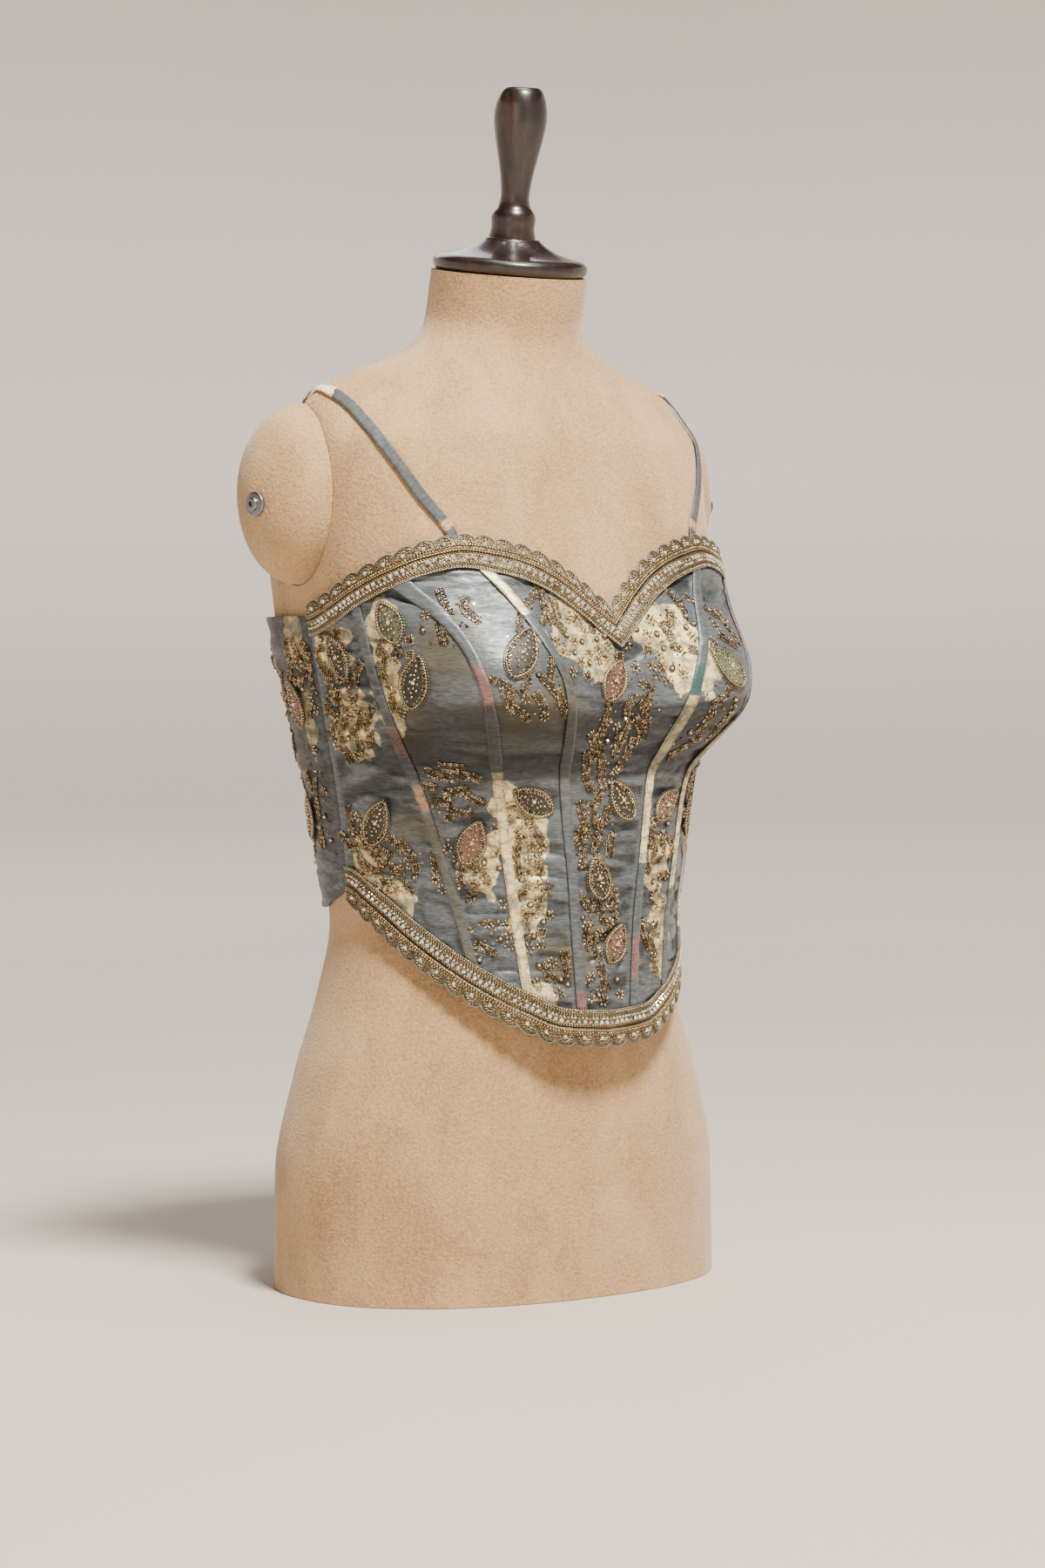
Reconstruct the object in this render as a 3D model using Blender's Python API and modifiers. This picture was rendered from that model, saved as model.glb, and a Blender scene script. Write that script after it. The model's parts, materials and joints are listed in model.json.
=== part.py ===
"""Corset blouse worn on a limbless dress form.

Metres, +Z up, standing on z = 0. The front faces -Y and the wearer's right side is -X.
The corset is one smooth surface, given by girth sections and two cups. Its panels, bone channels,
borders and raised leaves are all cut from that surface, each moved out by its own layer height.
"""

import math
from collections import namedtuple

import bmesh
import bpy
import numpy as np
from mathutils import Matrix, Vector
from mathutils.bvhtree import BVHTree

# Driving dimensions

CLOTH_WALL = 0.0016
SEAM_GAP = 0.0004
LAYER_GAP = 0.0008
PANEL_ROWS = 24

CHANNEL_WIDTH = 0.0074
CHANNEL_WALL = 0.0010
PLACKET_WIDTH = 0.0220

LACE_WALL = 0.0014
BRAID_WALL = 0.0022
SCALLOP_PITCH = 0.0140
SCALLOP_DEPTH = 0.0032
SCALLOP_STEPS = 4
SCALLOP_FULLNESS = 0.6
BRAID_STEP = 0.0090

STRAP_WIDTH = 0.0078
STRAP_WALL = 0.0012
STRAP_GAP = 0.0012
STRAP_STEPS = 30

LEAF_WALL = 0.0018
LEAF_STEPS = 5
LEAF_SLIMNESS = 0.54
LEAF_BELLY = 0.85
LEAF_FULLNESS = 0.8
LEAF_TIP = 0.0012

FORM_SIDES = 40
FORM_RING_STEP = 0.027
TURNED_SIDES = 24
STUD_SIDES = 12

CAP_CENTRE = Vector((0.146, 0.039, 0.555))
CAP_HALF_HEIGHT = 0.0625
CAP_HALF_DEPTH = 0.043
CAP_SKIRT = 0.008
CAP_BULGE = 0.044
CAP_ROUNDNESS = 0.92
CAP_RINGS = 7
RECESS_GAP = 0.0006
RECESS_REACH = 0.060
STUD_Y = 0.030
STUD_Z = 0.548

NECK_TILT = 0.12
NECK_TOP = 0.710

# Working values: the girth's centre, where the form's axis stands so that the origin is under the
# middle of the whole, the mean radius, gaps, steps and limits

GIRTH_CENTRE = 0.020
AXIS_Y = -0.00668
MEAN_RADIUS = 0.135
TOUCH_GAP = 0.0003
SMALL_STEP = 0.0005
EDGE_STEP = 0.5
RISE_STEP = 0.01
PLACKET_MARGIN = 0.004
FLATTEST_LEAN = 0.45
END_TRIES = 6
MERGE_DISTANCE = 0.0001
SHARP_ANGLE = 35.0
SIDES = (("right", -1), ("left", 1))

Section = namedtuple("Section", "height centre half_width front back roundness tilt")
FORM_SECTIONS = (
    Section(0.000, GIRTH_CENTRE, 0.168, 0.116, 0.122, 2.2, 0.0),
    Section(0.080, GIRTH_CENTRE, 0.167, 0.114, 0.122, 2.2, 0.0),
    Section(0.150, GIRTH_CENTRE, 0.151, 0.110, 0.115, 2.2, 0.0),
    Section(0.205, GIRTH_CENTRE, 0.134, 0.107, 0.108, 2.1, 0.0),
    Section(0.255, GIRTH_CENTRE, 0.1256, 0.106, 0.103, 2.0, 0.0),
    Section(0.305, GIRTH_CENTRE, 0.1275, 0.111, 0.110, 2.1, 0.0),
    Section(0.360, GIRTH_CENTRE, 0.134, 0.121, 0.120, 2.2, 0.0),
    Section(0.415, GIRTH_CENTRE, 0.146, 0.138, 0.125, 2.4, 0.0),
    Section(0.470, GIRTH_CENTRE, 0.157, 0.123, 0.123, 2.6, 0.0),
    Section(0.520, GIRTH_CENTRE, 0.159, 0.104, 0.129, 2.7, 0.0),
    Section(0.560, GIRTH_CENTRE, 0.159, 0.093, 0.124, 2.7, 0.0),
    Section(0.590, GIRTH_CENTRE, 0.159, 0.087, 0.108, 2.4, 0.0),
    Section(0.610, 0.024, 0.157, 0.082, 0.088, 1.9, 0.0),
    Section(0.623, 0.027, 0.151, 0.078, 0.072, 1.7, 0.0),
    Section(0.634, 0.027, 0.134, 0.074, 0.061, 1.6, 0.0),
    Section(0.644, 0.025, 0.108, 0.069, 0.053, 1.6, 0.0),
    Section(0.654, 0.021, 0.080, 0.063, 0.050, 1.8, 0.0),
    Section(0.664, 0.016, 0.063, 0.057, 0.051, 2.0, 0.03),
    Section(0.680, 0.012, 0.056, 0.055, 0.053, 2.0, 0.08),
    Section(NECK_TOP, 0.005, 0.055, 0.055, 0.055, 2.0, NECK_TILT),
)
CORSET_SECTIONS = (
    Section(0.150, GIRTH_CENTRE, 0.134, 0.130, 0.116, 2.0, 0.0),
    Section(0.200, GIRTH_CENTRE, 0.130, 0.129, 0.114, 2.0, 0.0),
    Section(0.260, GIRTH_CENTRE, 0.128, 0.128, 0.115, 2.0, 0.0),
    Section(0.300, GIRTH_CENTRE, 0.131, 0.129, 0.121, 2.1, 0.0),
    Section(0.360, GIRTH_CENTRE, 0.140, 0.129, 0.126, 2.2, 0.0),
    Section(0.384, GIRTH_CENTRE, 0.145, 0.138, 0.128, 2.3, 0.0),
    Section(0.420, GIRTH_CENTRE, 0.152, 0.148, 0.130, 2.4, 0.0),
    Section(0.445, GIRTH_CENTRE, 0.157, 0.143, 0.131, 2.6, 0.0),
    Section(0.482, GIRTH_CENTRE, 0.162, 0.126, 0.132, 2.7, 0.0),
    Section(0.540, GIRTH_CENTRE, 0.163, 0.102, 0.132, 2.7, 0.0),
)

Cup = namedtuple("Cup", "angle height bulge inner_spread outer_spread rise fall")
CORSET_CUP = Cup(33.0, 0.416, 0.026, 16.0, 20.0, 0.062, 0.036)
FORM_CUP = Cup(33.0, 0.420, 0.024, 15.0, 18.0, 0.052, 0.036)

Edge = namedtuple("Edge", "angle height")
NECK_EDGE = (
    Edge(0.0, 0.4680),
    Edge(5.0, 0.4775),
    Edge(10.0, 0.4870),
    Edge(20.0, 0.5020),
    Edge(28.0, 0.5100),
    Edge(36.0, 0.5150),
    Edge(46.0, 0.5185),
    Edge(55.0, 0.5140),
    Edge(65.0, 0.5030),
    Edge(73.0, 0.4920),
    Edge(82.0, 0.4790),
    Edge(90.0, 0.4720),
    Edge(100.0, 0.4710),
    Edge(122.0, 0.4690),
    Edge(180.0, 0.4660),
)
HEM_EDGE = (
    Edge(0.0, 0.1845),
    Edge(16.0, 0.1875),
    Edge(29.0, 0.1990),
    Edge(46.0, 0.2195),
    Edge(64.0, 0.2460),
    Edge(80.0, 0.2710),
    Edge(90.0, 0.2820),
    Edge(96.0, 0.2760),
    Edge(111.0, 0.2660),
    Edge(180.0, 0.2620),
)

Seam = namedtuple("Seam", "rise inner cup outer")
SEAMS = (
    Seam(0.00, 9.5, 26.0, 42.0),
    Seam(0.30, 12.6, 33.0, 54.5),
    Seam(0.50, 15.8, 36.5, 61.7),
    Seam(0.68, 18.0, 38.5, 67.0),
    Seam(0.76, 20.0, 41.8, 68.7),
    Seam(0.84, 25.5, 49.0, 70.0),
    Seam(0.91, 33.0, 57.0, 71.5),
    Seam(1.00, 47.0, 65.0, 73.0),
)
SIDE_SEAM = 90.0
BACK = 180.0

# Panels of each side: the seams that bound them and their columns of faces, then the front's
Panel = namedtuple("Panel", "name low_seam high_seam columns")
SIDE_PANELS = (
    Panel("cup_inner", "inner", "cup", 5),
    Panel("cup_outer", "cup", "outer", 5),
    Panel("side", "outer", "side", 4),
    Panel("back", "side", "back", 7),
)
FRONT_COLUMNS = 12


def smooth(stations, values, at):
    """Value at one station of the smooth curve through the rows, which never overshoots a row."""
    stations = np.asarray(stations, float)
    values = np.asarray(values, float)
    at = min(max(at, stations[0]), stations[-1])
    steps = np.diff(stations)
    rises = np.diff(values) / steps
    slopes = np.concatenate(([rises[0]], np.zeros(len(rises) - 1), [rises[-1]]))
    for k in range(1, len(rises)):
        if rises[k - 1] * rises[k] > 0:
            near = 2 * steps[k] + steps[k - 1]
            far = steps[k] + 2 * steps[k - 1]
            slopes[k] = (near + far) / (near / rises[k - 1] + far / rises[k])
    k = min(int(np.searchsorted(stations, at, side="right")) - 1, len(steps) - 1)
    t = (at - stations[k]) / steps[k]
    low = (1 + 2 * t) * (1 - t) ** 2 * values[k] + t * (1 - t) ** 2 * steps[k] * slopes[k]
    high = t * t * (3 - 2 * t) * values[k + 1] - t * t * (1 - t) * steps[k] * slopes[k + 1]
    return low + high


def column(rows, name, at):
    """One named column of a table, read smoothly at a station of its first column."""
    return smooth([row[0] for row in rows], [getattr(row, name) for row in rows], at)


def cup_bulge(cup, angle, height):
    """How far a cup stands out from its section at an angle in degrees and a height."""
    across = abs(angle) - cup.angle
    spread = cup.outer_spread if across > 0 else cup.inner_spread
    up = height - cup.height
    reach = cup.rise if up > 0 else cup.fall
    return cup.bulge * math.exp(-((across / spread) ** 2) - (up / reach) ** 2)


def girth_point(sections, cup, angle, height):
    """A point on a torso surface, by its angle round from centre front and its height."""
    turn = math.radians(angle)
    half_width = column(sections, "half_width", height)
    depth = column(sections, "front" if abs(angle) <= SIDE_SEAM else "back", height)
    power = column(sections, "roundness", height)
    sideways = abs(math.sin(turn)) / half_width
    lengthways = abs(math.cos(turn)) / depth
    radius = (sideways**power + lengthways**power) ** (-1 / power)
    radius += cup_bulge(cup, angle, height)
    centre = column(sections, "centre", height)
    y = centre - radius * math.cos(turn)
    lift = column(sections, "tilt", height) * (y - centre)
    return Vector((-radius * math.sin(turn), y, height + lift))


def neck_height(angle):
    """Height of the cloth's top edge at an angle."""
    return column(NECK_EDGE, "height", abs(angle))


def hem_height(angle):
    """Height of the cloth's bottom edge at an angle."""
    return column(HEM_EDGE, "height", abs(angle))


def corset_point(angle, height, out=0.0):
    """A point of the corset's outer face, moved out along its normal."""
    here = girth_point(CORSET_SECTIONS, CORSET_CUP, angle, height)
    if not out:
        return here
    beside = angle + math.degrees(SMALL_STEP / MEAN_RADIUS)
    sideways = girth_point(CORSET_SECTIONS, CORSET_CUP, beside, height) - here
    upwards = girth_point(CORSET_SECTIONS, CORSET_CUP, angle, height + SMALL_STEP) - here
    normal = upwards.cross(sideways).normalized()
    return here + normal * out


def cloth_point(angle, rise, out=0.0):
    """A point of the cloth by its angle and its share of the way from hem to top edge."""
    low = hem_height(angle)
    return corset_point(angle, low + rise * (neck_height(angle) - low), out)


def seam_angle(name, rise):
    """Angle of a named seam at a share of the way up; the centre seams stay where they are."""
    fixed = {"front": 0.0, "side": SIDE_SEAM, "back": BACK}
    return fixed[name] if name in fixed else column(SEAMS, name, rise)


# Borders: how far each row runs from the cloth's edge, negative where it stands beyond it.
Border = namedtuple("Border", "lace_out lace_in braid_out braid_in")
NECK_BORDER = Border(-0.0085, 0.0028, 0.0035, 0.0140)
HEM_BORDER = Border(-0.0095, 0.0036, 0.0043, 0.0160)

TurnedPoint = namedtuple("TurnedPoint", "radius height")
FINIAL_PROFILE = (
    TurnedPoint(0.0000, 0.1050),
    TurnedPoint(0.0098, 0.1050),
    TurnedPoint(0.0130, 0.1036),
    TurnedPoint(0.0158, 0.0990),
    TurnedPoint(0.0180, 0.0905),
    TurnedPoint(0.0186, 0.0830),
    TurnedPoint(0.0172, 0.0715),
    TurnedPoint(0.0140, 0.0560),
    TurnedPoint(0.0112, 0.0410),
    TurnedPoint(0.0100, 0.0285),
    TurnedPoint(0.0112, 0.0225),
    TurnedPoint(0.0146, 0.0172),
    TurnedPoint(0.0156, 0.0130),
    TurnedPoint(0.0152, 0.0070),
    TurnedPoint(0.0166, 0.0000),
    TurnedPoint(0.0000, 0.0000),
)
PLATE_PROFILE = (
    TurnedPoint(0.0000, 0.0245),
    TurnedPoint(0.0190, 0.0245),
    TurnedPoint(0.0204, 0.0230),
    TurnedPoint(0.0250, 0.0196),
    TurnedPoint(0.0330, 0.0156),
    TurnedPoint(0.0430, 0.0126),
    TurnedPoint(0.0500, 0.0110),
    TurnedPoint(0.0535, 0.0088),
    TurnedPoint(0.0545, 0.0055),
    TurnedPoint(0.0532, 0.0020),
    TurnedPoint(0.0505, 0.0000),
    TurnedPoint(0.0000, 0.0000),
)
STUD_PROFILE = (
    TurnedPoint(0.0000, 0.0052),
    TurnedPoint(0.0035, 0.0052),
    TurnedPoint(0.0046, 0.0042),
    TurnedPoint(0.0050, 0.0026),
    TurnedPoint(0.0078, 0.0020),
    TurnedPoint(0.0084, 0.0008),
    TurnedPoint(0.0084, 0.0000),
    TurnedPoint(0.0000, 0.0000),
)

# Strap guide on the wearer's right, from inside the front edge over the shoulder to the back edge.
Guide = namedtuple("Guide", "x y z")
STRAP_GUIDE = (
    Guide(0.1005, -0.0735, 0.5080),
    Guide(0.1050, -0.0680, 0.5288),
    Guide(0.1185, -0.0550, 0.5518),
    Guide(0.1305, -0.0410, 0.5766),
    Guide(0.1390, -0.0215, 0.5999),
    Guide(0.1430, -0.0020, 0.6170),
    Guide(0.1455, 0.0150, 0.6250),
    Guide(0.1460, 0.0330, 0.6290),
    Guide(0.1450, 0.0520, 0.6240),
    Guide(0.1420, 0.0740, 0.6080),
    Guide(0.1370, 0.0990, 0.5800),
    Guide(0.1270, 0.1210, 0.5400),
    Guide(0.1160, 0.1290, 0.5000),
    Guide(0.1110, 0.1270, 0.4600),
)

# Raised leaves: panel, place on the cloth, length, and turn of the tip from straight up.
Leaf = namedtuple("Leaf", "angle height length turn")
LEAVES = (
    Leaf(4.0, 0.428, 0.030, -35.0),
    Leaf(-5.0, 0.345, 0.031, 35.0),
    Leaf(4.0, 0.292, 0.029, 15.0),
    Leaf(-3.0, 0.246, 0.028, -25.0),
    Leaf(31.0, 0.448, 0.034, -25.0),
    Leaf(26.0, 0.346, 0.030, 62.0),
    Leaf(62.5, 0.468, 0.030, 30.0),
    Leaf(56.0, 0.428, 0.036, -15.0),
    Leaf(44.0, 0.318, 0.030, -20.0),
    Leaf(80.0, 0.444, 0.031, 25.0),
    Leaf(74.0, 0.330, 0.034, -30.0),
    Leaf(104.0, 0.410, 0.033, 15.0),
    Leaf(112.0, 0.330, 0.032, -20.0),
    Leaf(-29.0, 0.436, 0.033, 40.0),
    Leaf(-25.5, 0.340, 0.030, -55.0),
    Leaf(-53.0, 0.448, 0.035, -20.0),
    Leaf(-45.0, 0.330, 0.030, 20.0),
    Leaf(-80.0, 0.420, 0.033, -25.0),
    Leaf(-72.0, 0.312, 0.032, 25.0),
    Leaf(-106.0, 0.428, 0.033, -15.0),
    Leaf(-113.0, 0.345, 0.031, 30.0),
)

Finish = namedtuple("Finish", "colour roughness metallic")
FINISHES = {
    "silk": Finish((0.165, 0.190, 0.215, 1.0), 0.42, 0.15),
    "channel": Finish((0.230, 0.250, 0.235, 1.0), 0.45, 0.10),
    "border": Finish((0.520, 0.390, 0.220, 1.0), 0.35, 0.60),
    "leaf": Finish((0.330, 0.300, 0.200, 1.0), 0.55, 0.20),
    "velour": Finish((0.570, 0.450, 0.340, 1.0), 0.90, 0.00),
    "wood": Finish((0.035, 0.015, 0.010, 1.0), 0.22, 0.00),
    "metal": Finish((0.560, 0.570, 0.580, 1.0), 0.30, 1.00),
}


def clear_scene():
    """Removes whatever the scene holds."""
    for obj in list(bpy.data.objects):
        bpy.data.objects.remove(obj, do_unlink=True)


def form_axis(collection):
    """The empty that carries every piece."""
    axis = bpy.data.objects.new("form_axis", None)
    axis.location = (0.0, AXIS_Y, 0.0)
    collection.objects.link(axis)


def material(name):
    """The Principled material of one finish."""
    made = bpy.data.materials.get(name)
    if made is None:
        finish = FINISHES[name]
        made = bpy.data.materials.new(name)
        made.use_nodes = True
        shader = made.node_tree.nodes["Principled BSDF"]
        shader.inputs["Base Color"].default_value = finish.colour
        shader.inputs["Roughness"].default_value = finish.roughness
        shader.inputs["Metallic"].default_value = finish.metallic
    return made


def place(name, bm, finish, collection):
    """Turns a bmesh into a named object with its finish."""
    mesh = bpy.data.meshes.new(name)
    bm.to_mesh(mesh)
    bm.free()
    mesh.shade_smooth()
    mesh.set_sharp_from_angle(angle=math.radians(SHARP_ANGLE))
    mesh.materials.append(material(finish))
    obj = bpy.data.objects.new(name, mesh)
    obj.parent = bpy.data.objects["form_axis"]
    collection.objects.link(obj)
    return obj


def sheet(name, rows, wall, finish, collection):
    """An open sheet through rows of points, outer face first, thickened inwards by its wall."""
    bm = bmesh.new()
    grid = [[bm.verts.new(point) for point in row] for row in rows]
    for low, high in zip(grid, grid[1:]):
        for k in range(len(low) - 1):
            bm.faces.new((low[k], high[k], high[k + 1], low[k + 1]))
    obj = place(name, bm, finish, collection)
    solid = obj.modifiers.new("Wall", "SOLIDIFY")
    solid.thickness = wall
    solid.offset = -1.0
    return obj


def turned(name, profile, sides, finish, collection):
    """A turned piece about its own Z, from a profile that runs down its outer side."""
    bm = bmesh.new()
    verts = [bm.verts.new((point.radius, 0.0, point.height)) for point in profile]
    for upper, lower in zip(verts, verts[1:]):
        bm.edges.new((upper, lower))
    obj = place(name, bm, finish, collection)
    screw = obj.modifiers.new("Turn", "SCREW")
    screw.steps = sides
    screw.render_steps = sides
    screw.use_merge_vertices = True
    screw.merge_threshold = MERGE_DISTANCE
    screw.use_smooth_shade = True
    return obj


def span(count):
    """Shares from 0 to 1 in equal steps."""
    return [k / count for k in range(count + 1)]


def panel(name, left, right, columns, collection):
    """One cloth panel between two seams; each is a function from rise to an angle in degrees."""
    inset = math.degrees(SEAM_GAP / 2 / MEAN_RADIUS)
    rows = []
    for rise in span(PANEL_ROWS):
        low, high = left(rise) + inset, right(rise) - inset
        rows.append([cloth_point(low + share * (high - low), rise) for share in span(columns)])
    return sheet(name, rows, CLOTH_WALL, "silk", collection)


def edge_slope(edge, angle):
    """How much longer an edge is than its run round the girth, at an angle."""
    outward = EDGE_STEP if angle >= 0 else -EDGE_STEP
    climb = edge(angle + outward) - edge(angle)
    run = (corset_point(angle + outward, edge(angle)) - corset_point(angle, edge(angle))).length
    return math.hypot(climb, run) / run


def border_height(edge, angle, inset):
    """Height of a line that runs at a distance inside an edge, measured square to the edge."""
    inwards = -1.0 if edge is neck_height else 1.0
    return edge(angle) + inwards * inset * edge_slope(edge, angle)


def edge_runs(edge):
    """Angles from centre front to the side seam, and the edge's length up to each of them."""
    angles = [SIDE_SEAM * share for share in span(round(SIDE_SEAM / EDGE_STEP))]
    points = [corset_point(angle, edge(angle)) for angle in angles]
    steps = [(after - before).length for before, after in zip(points, points[1:])]
    return angles, np.concatenate(([0.0], np.cumsum(steps)))


def stations(edge, pitch, steps=1):
    """Angles from side seam to side seam that share an edge in whole pitches, in steps each."""
    angles, runs = edge_runs(edge)
    count = round(runs[-1] / pitch) * steps
    half = [float(np.interp(runs[-1] * share, runs, angles)) for share in span(count)]
    return [-angle for angle in reversed(half[1:])] + half


def lace(name, edge, border, collection):
    """The outer border row, with its scallops standing beyond the cloth's edge."""
    out = LAYER_GAP + LACE_WALL
    inner, outer = [], []
    for k, angle in enumerate(stations(edge, SCALLOP_PITCH, SCALLOP_STEPS)):
        crest = math.sin(math.pi * (k % SCALLOP_STEPS) / SCALLOP_STEPS) ** SCALLOP_FULLNESS
        reach = border.lace_out + SCALLOP_DEPTH * (1 - crest)
        inner.append(corset_point(angle, border_height(edge, angle, border.lace_in), out))
        outer.append(corset_point(angle, border_height(edge, angle, reach), out))
    rows = (inner, outer) if edge is neck_height else (outer, inner)
    return sheet(name, rows, LACE_WALL, "border", collection)


def braid(name, edge, border, collection):
    """The inner border row, a band of set stones between cords."""
    angles = stations(edge, BRAID_STEP)
    out = LAYER_GAP + BRAID_WALL
    lines = []
    for inset in (border.braid_in, (border.braid_in + border.braid_out) / 2, border.braid_out):
        lines.append([corset_point(a, border_height(edge, a, inset), out) for a in angles])
    rows = lines if edge is neck_height else reversed(lines)
    return sheet(name, rows, BRAID_WALL, "border", collection)


def channel(name, middle, width, collection, full=False):
    """A bone channel over a seam, from border to border, or from edge to edge where it is full."""

    def ends(angle):
        if full:
            return PLACKET_MARGIN, 1 - PLACKET_MARGIN
        low, high = hem_height(angle), neck_height(angle)
        start = border_height(hem_height, angle, HEM_BORDER.braid_in) + TOUCH_GAP
        stop = border_height(neck_height, angle, NECK_BORDER.braid_in) - TOUCH_GAP
        return (start - low) / (high - low), (stop - low) / (high - low)

    def angle_at(rise, side):
        here = cloth_point(middle(rise), rise)
        above, below = min(rise + RISE_STEP, 1.0), max(rise - RISE_STEP, 0.0)
        along = (cloth_point(middle(above), above) - cloth_point(middle(below), below)).normalized()
        radius = math.hypot(here.x, here.y - GIRTH_CENTRE)
        lean = max(abs(along.z), FLATTEST_LEAN)
        return middle(rise) + side * math.degrees(width / 2 / lean / radius)

    low_end, high_end = [], []
    for side in (-1, 1):
        low, high = 0.0, 1.0
        for _ in range(END_TRIES):
            low = ends(angle_at(low, side))[0]
            high = ends(angle_at(high, side))[1]
        low_end.append(low)
        high_end.append(high)
    lowest, highest = max(low_end) + RISE_STEP, min(high_end) - RISE_STEP
    inner = [rise for rise in span(PANEL_ROWS) if lowest < rise < highest]
    rows = []
    for line in [low_end] + [[rise] * 2 for rise in inner] + [high_end]:
        row = []
        for side, rise in zip((-1, 1), line):
            row.append(cloth_point(angle_at(rise, side), rise, LAYER_GAP + CHANNEL_WALL))
        rows.append(row)
    return sheet(name, rows, CHANNEL_WALL, "channel", collection)


def leaf(name, spec, collection):
    """One raised leaf laid on the cloth."""
    turn = math.radians(spec.turn)
    radius = (corset_point(spec.angle, spec.height) - Vector((0.0, GIRTH_CENTRE, spec.height))).length
    rows = []
    for share in span(LEAF_STEPS):
        along = (share - 0.5) * spec.length
        swell = math.sin(math.pi * share**LEAF_BELLY) ** LEAF_FULLNESS
        half = spec.length * LEAF_SLIMNESS / 2 * swell + LEAF_TIP
        row = []
        for side in (-1, 0, 1):
            across = side * half
            rightwards = along * math.sin(turn) + across * math.cos(turn)
            upwards = along * math.cos(turn) - across * math.sin(turn)
            angle = spec.angle + math.degrees(rightwards / radius)
            row.append(corset_point(angle, spec.height + upwards, LAYER_GAP + LEAF_WALL))
        rows.append(row)
    return sheet(name, rows, LEAF_WALL, "leaf", collection)


def torso(collection, cutters):
    """The form's body and neck, lofted through its girth sections, recessed for the shoulder caps."""
    heights = []
    for low, high in zip(FORM_SECTIONS, FORM_SECTIONS[1:]):
        steps = max(1, round((high.height - low.height) / FORM_RING_STEP))
        heights += [low.height + (high.height - low.height) * k / steps for k in range(steps)]
    heights.append(NECK_TOP)
    bm = bmesh.new()
    rings = []
    for height in heights:
        turns = [360.0 * k / FORM_SIDES - 180.0 for k in range(FORM_SIDES)]
        rings.append([bm.verts.new(girth_point(FORM_SECTIONS, FORM_CUP, a, height)) for a in turns])
    for low, high in zip(rings, rings[1:]):
        for k in range(FORM_SIDES):
            after = (k + 1) % FORM_SIDES
            bm.faces.new((low[k], high[k], high[after], low[after]))
    bm.faces.new(rings[0])
    bm.faces.new(reversed(rings[-1]))
    bmesh.ops.recalc_face_normals(bm, faces=bm.faces)
    obj = place("form_torso", bm, "velour", collection)
    for word, side in SIDES:
        bm = bmesh.new()
        bmesh.ops.create_cone(
            bm,
            cap_ends=True,
            segments=TURNED_SIDES,
            radius1=1.0,
            radius2=1.0,
            depth=RECESS_REACH,
            matrix=Matrix.Rotation(math.pi / 2, 4, "Y"),
        )
        grow = Vector((1.0, CAP_HALF_DEPTH + RECESS_GAP, CAP_HALF_HEIGHT + RECESS_GAP))
        bmesh.ops.scale(bm, vec=grow, verts=bm.verts)
        shift = Vector((side * (CAP_CENTRE.x + RECESS_REACH / 2), CAP_CENTRE.y, CAP_CENTRE.z))
        bmesh.ops.translate(bm, vec=shift, verts=bm.verts)
        cutter = place(f"armhole_cutter_{word}", bm, "velour", cutters)
        cutter.display_type = "WIRE"
        cutter.hide_render = True
        recess = obj.modifiers.new("Armhole", "BOOLEAN")
        recess.operation = "DIFFERENCE"
        recess.object = cutter
    return obj


def cap(name, side, collection):
    """A closed shoulder cap, a shallow dome on a short skirt that sits in the torso's recess."""
    profile = [TurnedPoint(0.0, CAP_SKIRT + CAP_BULGE)]
    for share in span(CAP_RINGS)[1:]:
        lean = share * math.pi / 2
        drop = CAP_SKIRT + CAP_BULGE * math.cos(lean) ** CAP_ROUNDNESS
        profile.append(TurnedPoint(math.sin(lean), drop))
    profile += [TurnedPoint(1.0, 0.0), TurnedPoint(0.0, 0.0)]
    bm = bmesh.new()
    verts = [bm.verts.new((point.radius, 0.0, point.height)) for point in profile]
    for upper, lower in zip(verts, verts[1:]):
        bm.edges.new((upper, lower))
    geometry = bm.verts[:] + bm.edges[:]
    bmesh.ops.spin(
        bm,
        geom=geometry,
        cent=(0, 0, 0),
        axis=(0, 0, 1),
        angle=2 * math.pi,
        steps=TURNED_SIDES,
        use_merge=True,
    )
    bmesh.ops.remove_doubles(bm, verts=bm.verts, dist=MERGE_DISTANCE)
    bmesh.ops.scale(bm, vec=Vector((CAP_HALF_HEIGHT, CAP_HALF_DEPTH, 1.0)), verts=bm.verts)
    bmesh.ops.rotate(bm, matrix=Matrix.Rotation(side * math.pi / 2, 3, "Y"), verts=bm.verts)
    seat = Vector((side * (CAP_CENTRE.x + TOUCH_GAP), CAP_CENTRE.y, CAP_CENTRE.z))
    bmesh.ops.translate(bm, vec=seat, verts=bm.verts)
    bmesh.ops.recalc_face_normals(bm, faces=bm.faces)
    return place(name, bm, "velour", collection)


def strap(name, side, skin, collection):
    """A flat shoulder strap that lies on the form from the front edge to the back edge."""
    shares = span(len(STRAP_GUIDE) - 1)
    middle, normals = [], []
    for share in span(STRAP_STEPS):
        guide = [smooth(shares, [getattr(point, axis) for point in STRAP_GUIDE], share) for axis in "xyz"]
        touch, normal, _, _ = skin.find_nearest(Vector((side * guide[0], guide[1], guide[2])))
        middle.append(touch)
        normals.append(normal)
    left, right = [], []
    for k, point in enumerate(middle):
        before, after = middle[max(k - 1, 0)], middle[min(k + 1, len(middle) - 1)]
        around = normals[max(k - 1, 0)] + normals[k] * 2 + normals[min(k + 1, len(middle) - 1)]
        normal = around.normalized()
        across = (after - before).normalized().cross(normal).normalized() * STRAP_WIDTH / 2
        lifted = point + normal * (STRAP_WALL + STRAP_GAP)
        left.append(lifted - across)
        right.append(lifted + across)
    rows = [[a, b] for a, b in zip(left, right)]
    return sheet(name, rows, STRAP_WALL, "channel", collection)


def mirrored(function):
    """The same seam on the wearer's left."""
    return lambda rise: -function(rise)


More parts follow.
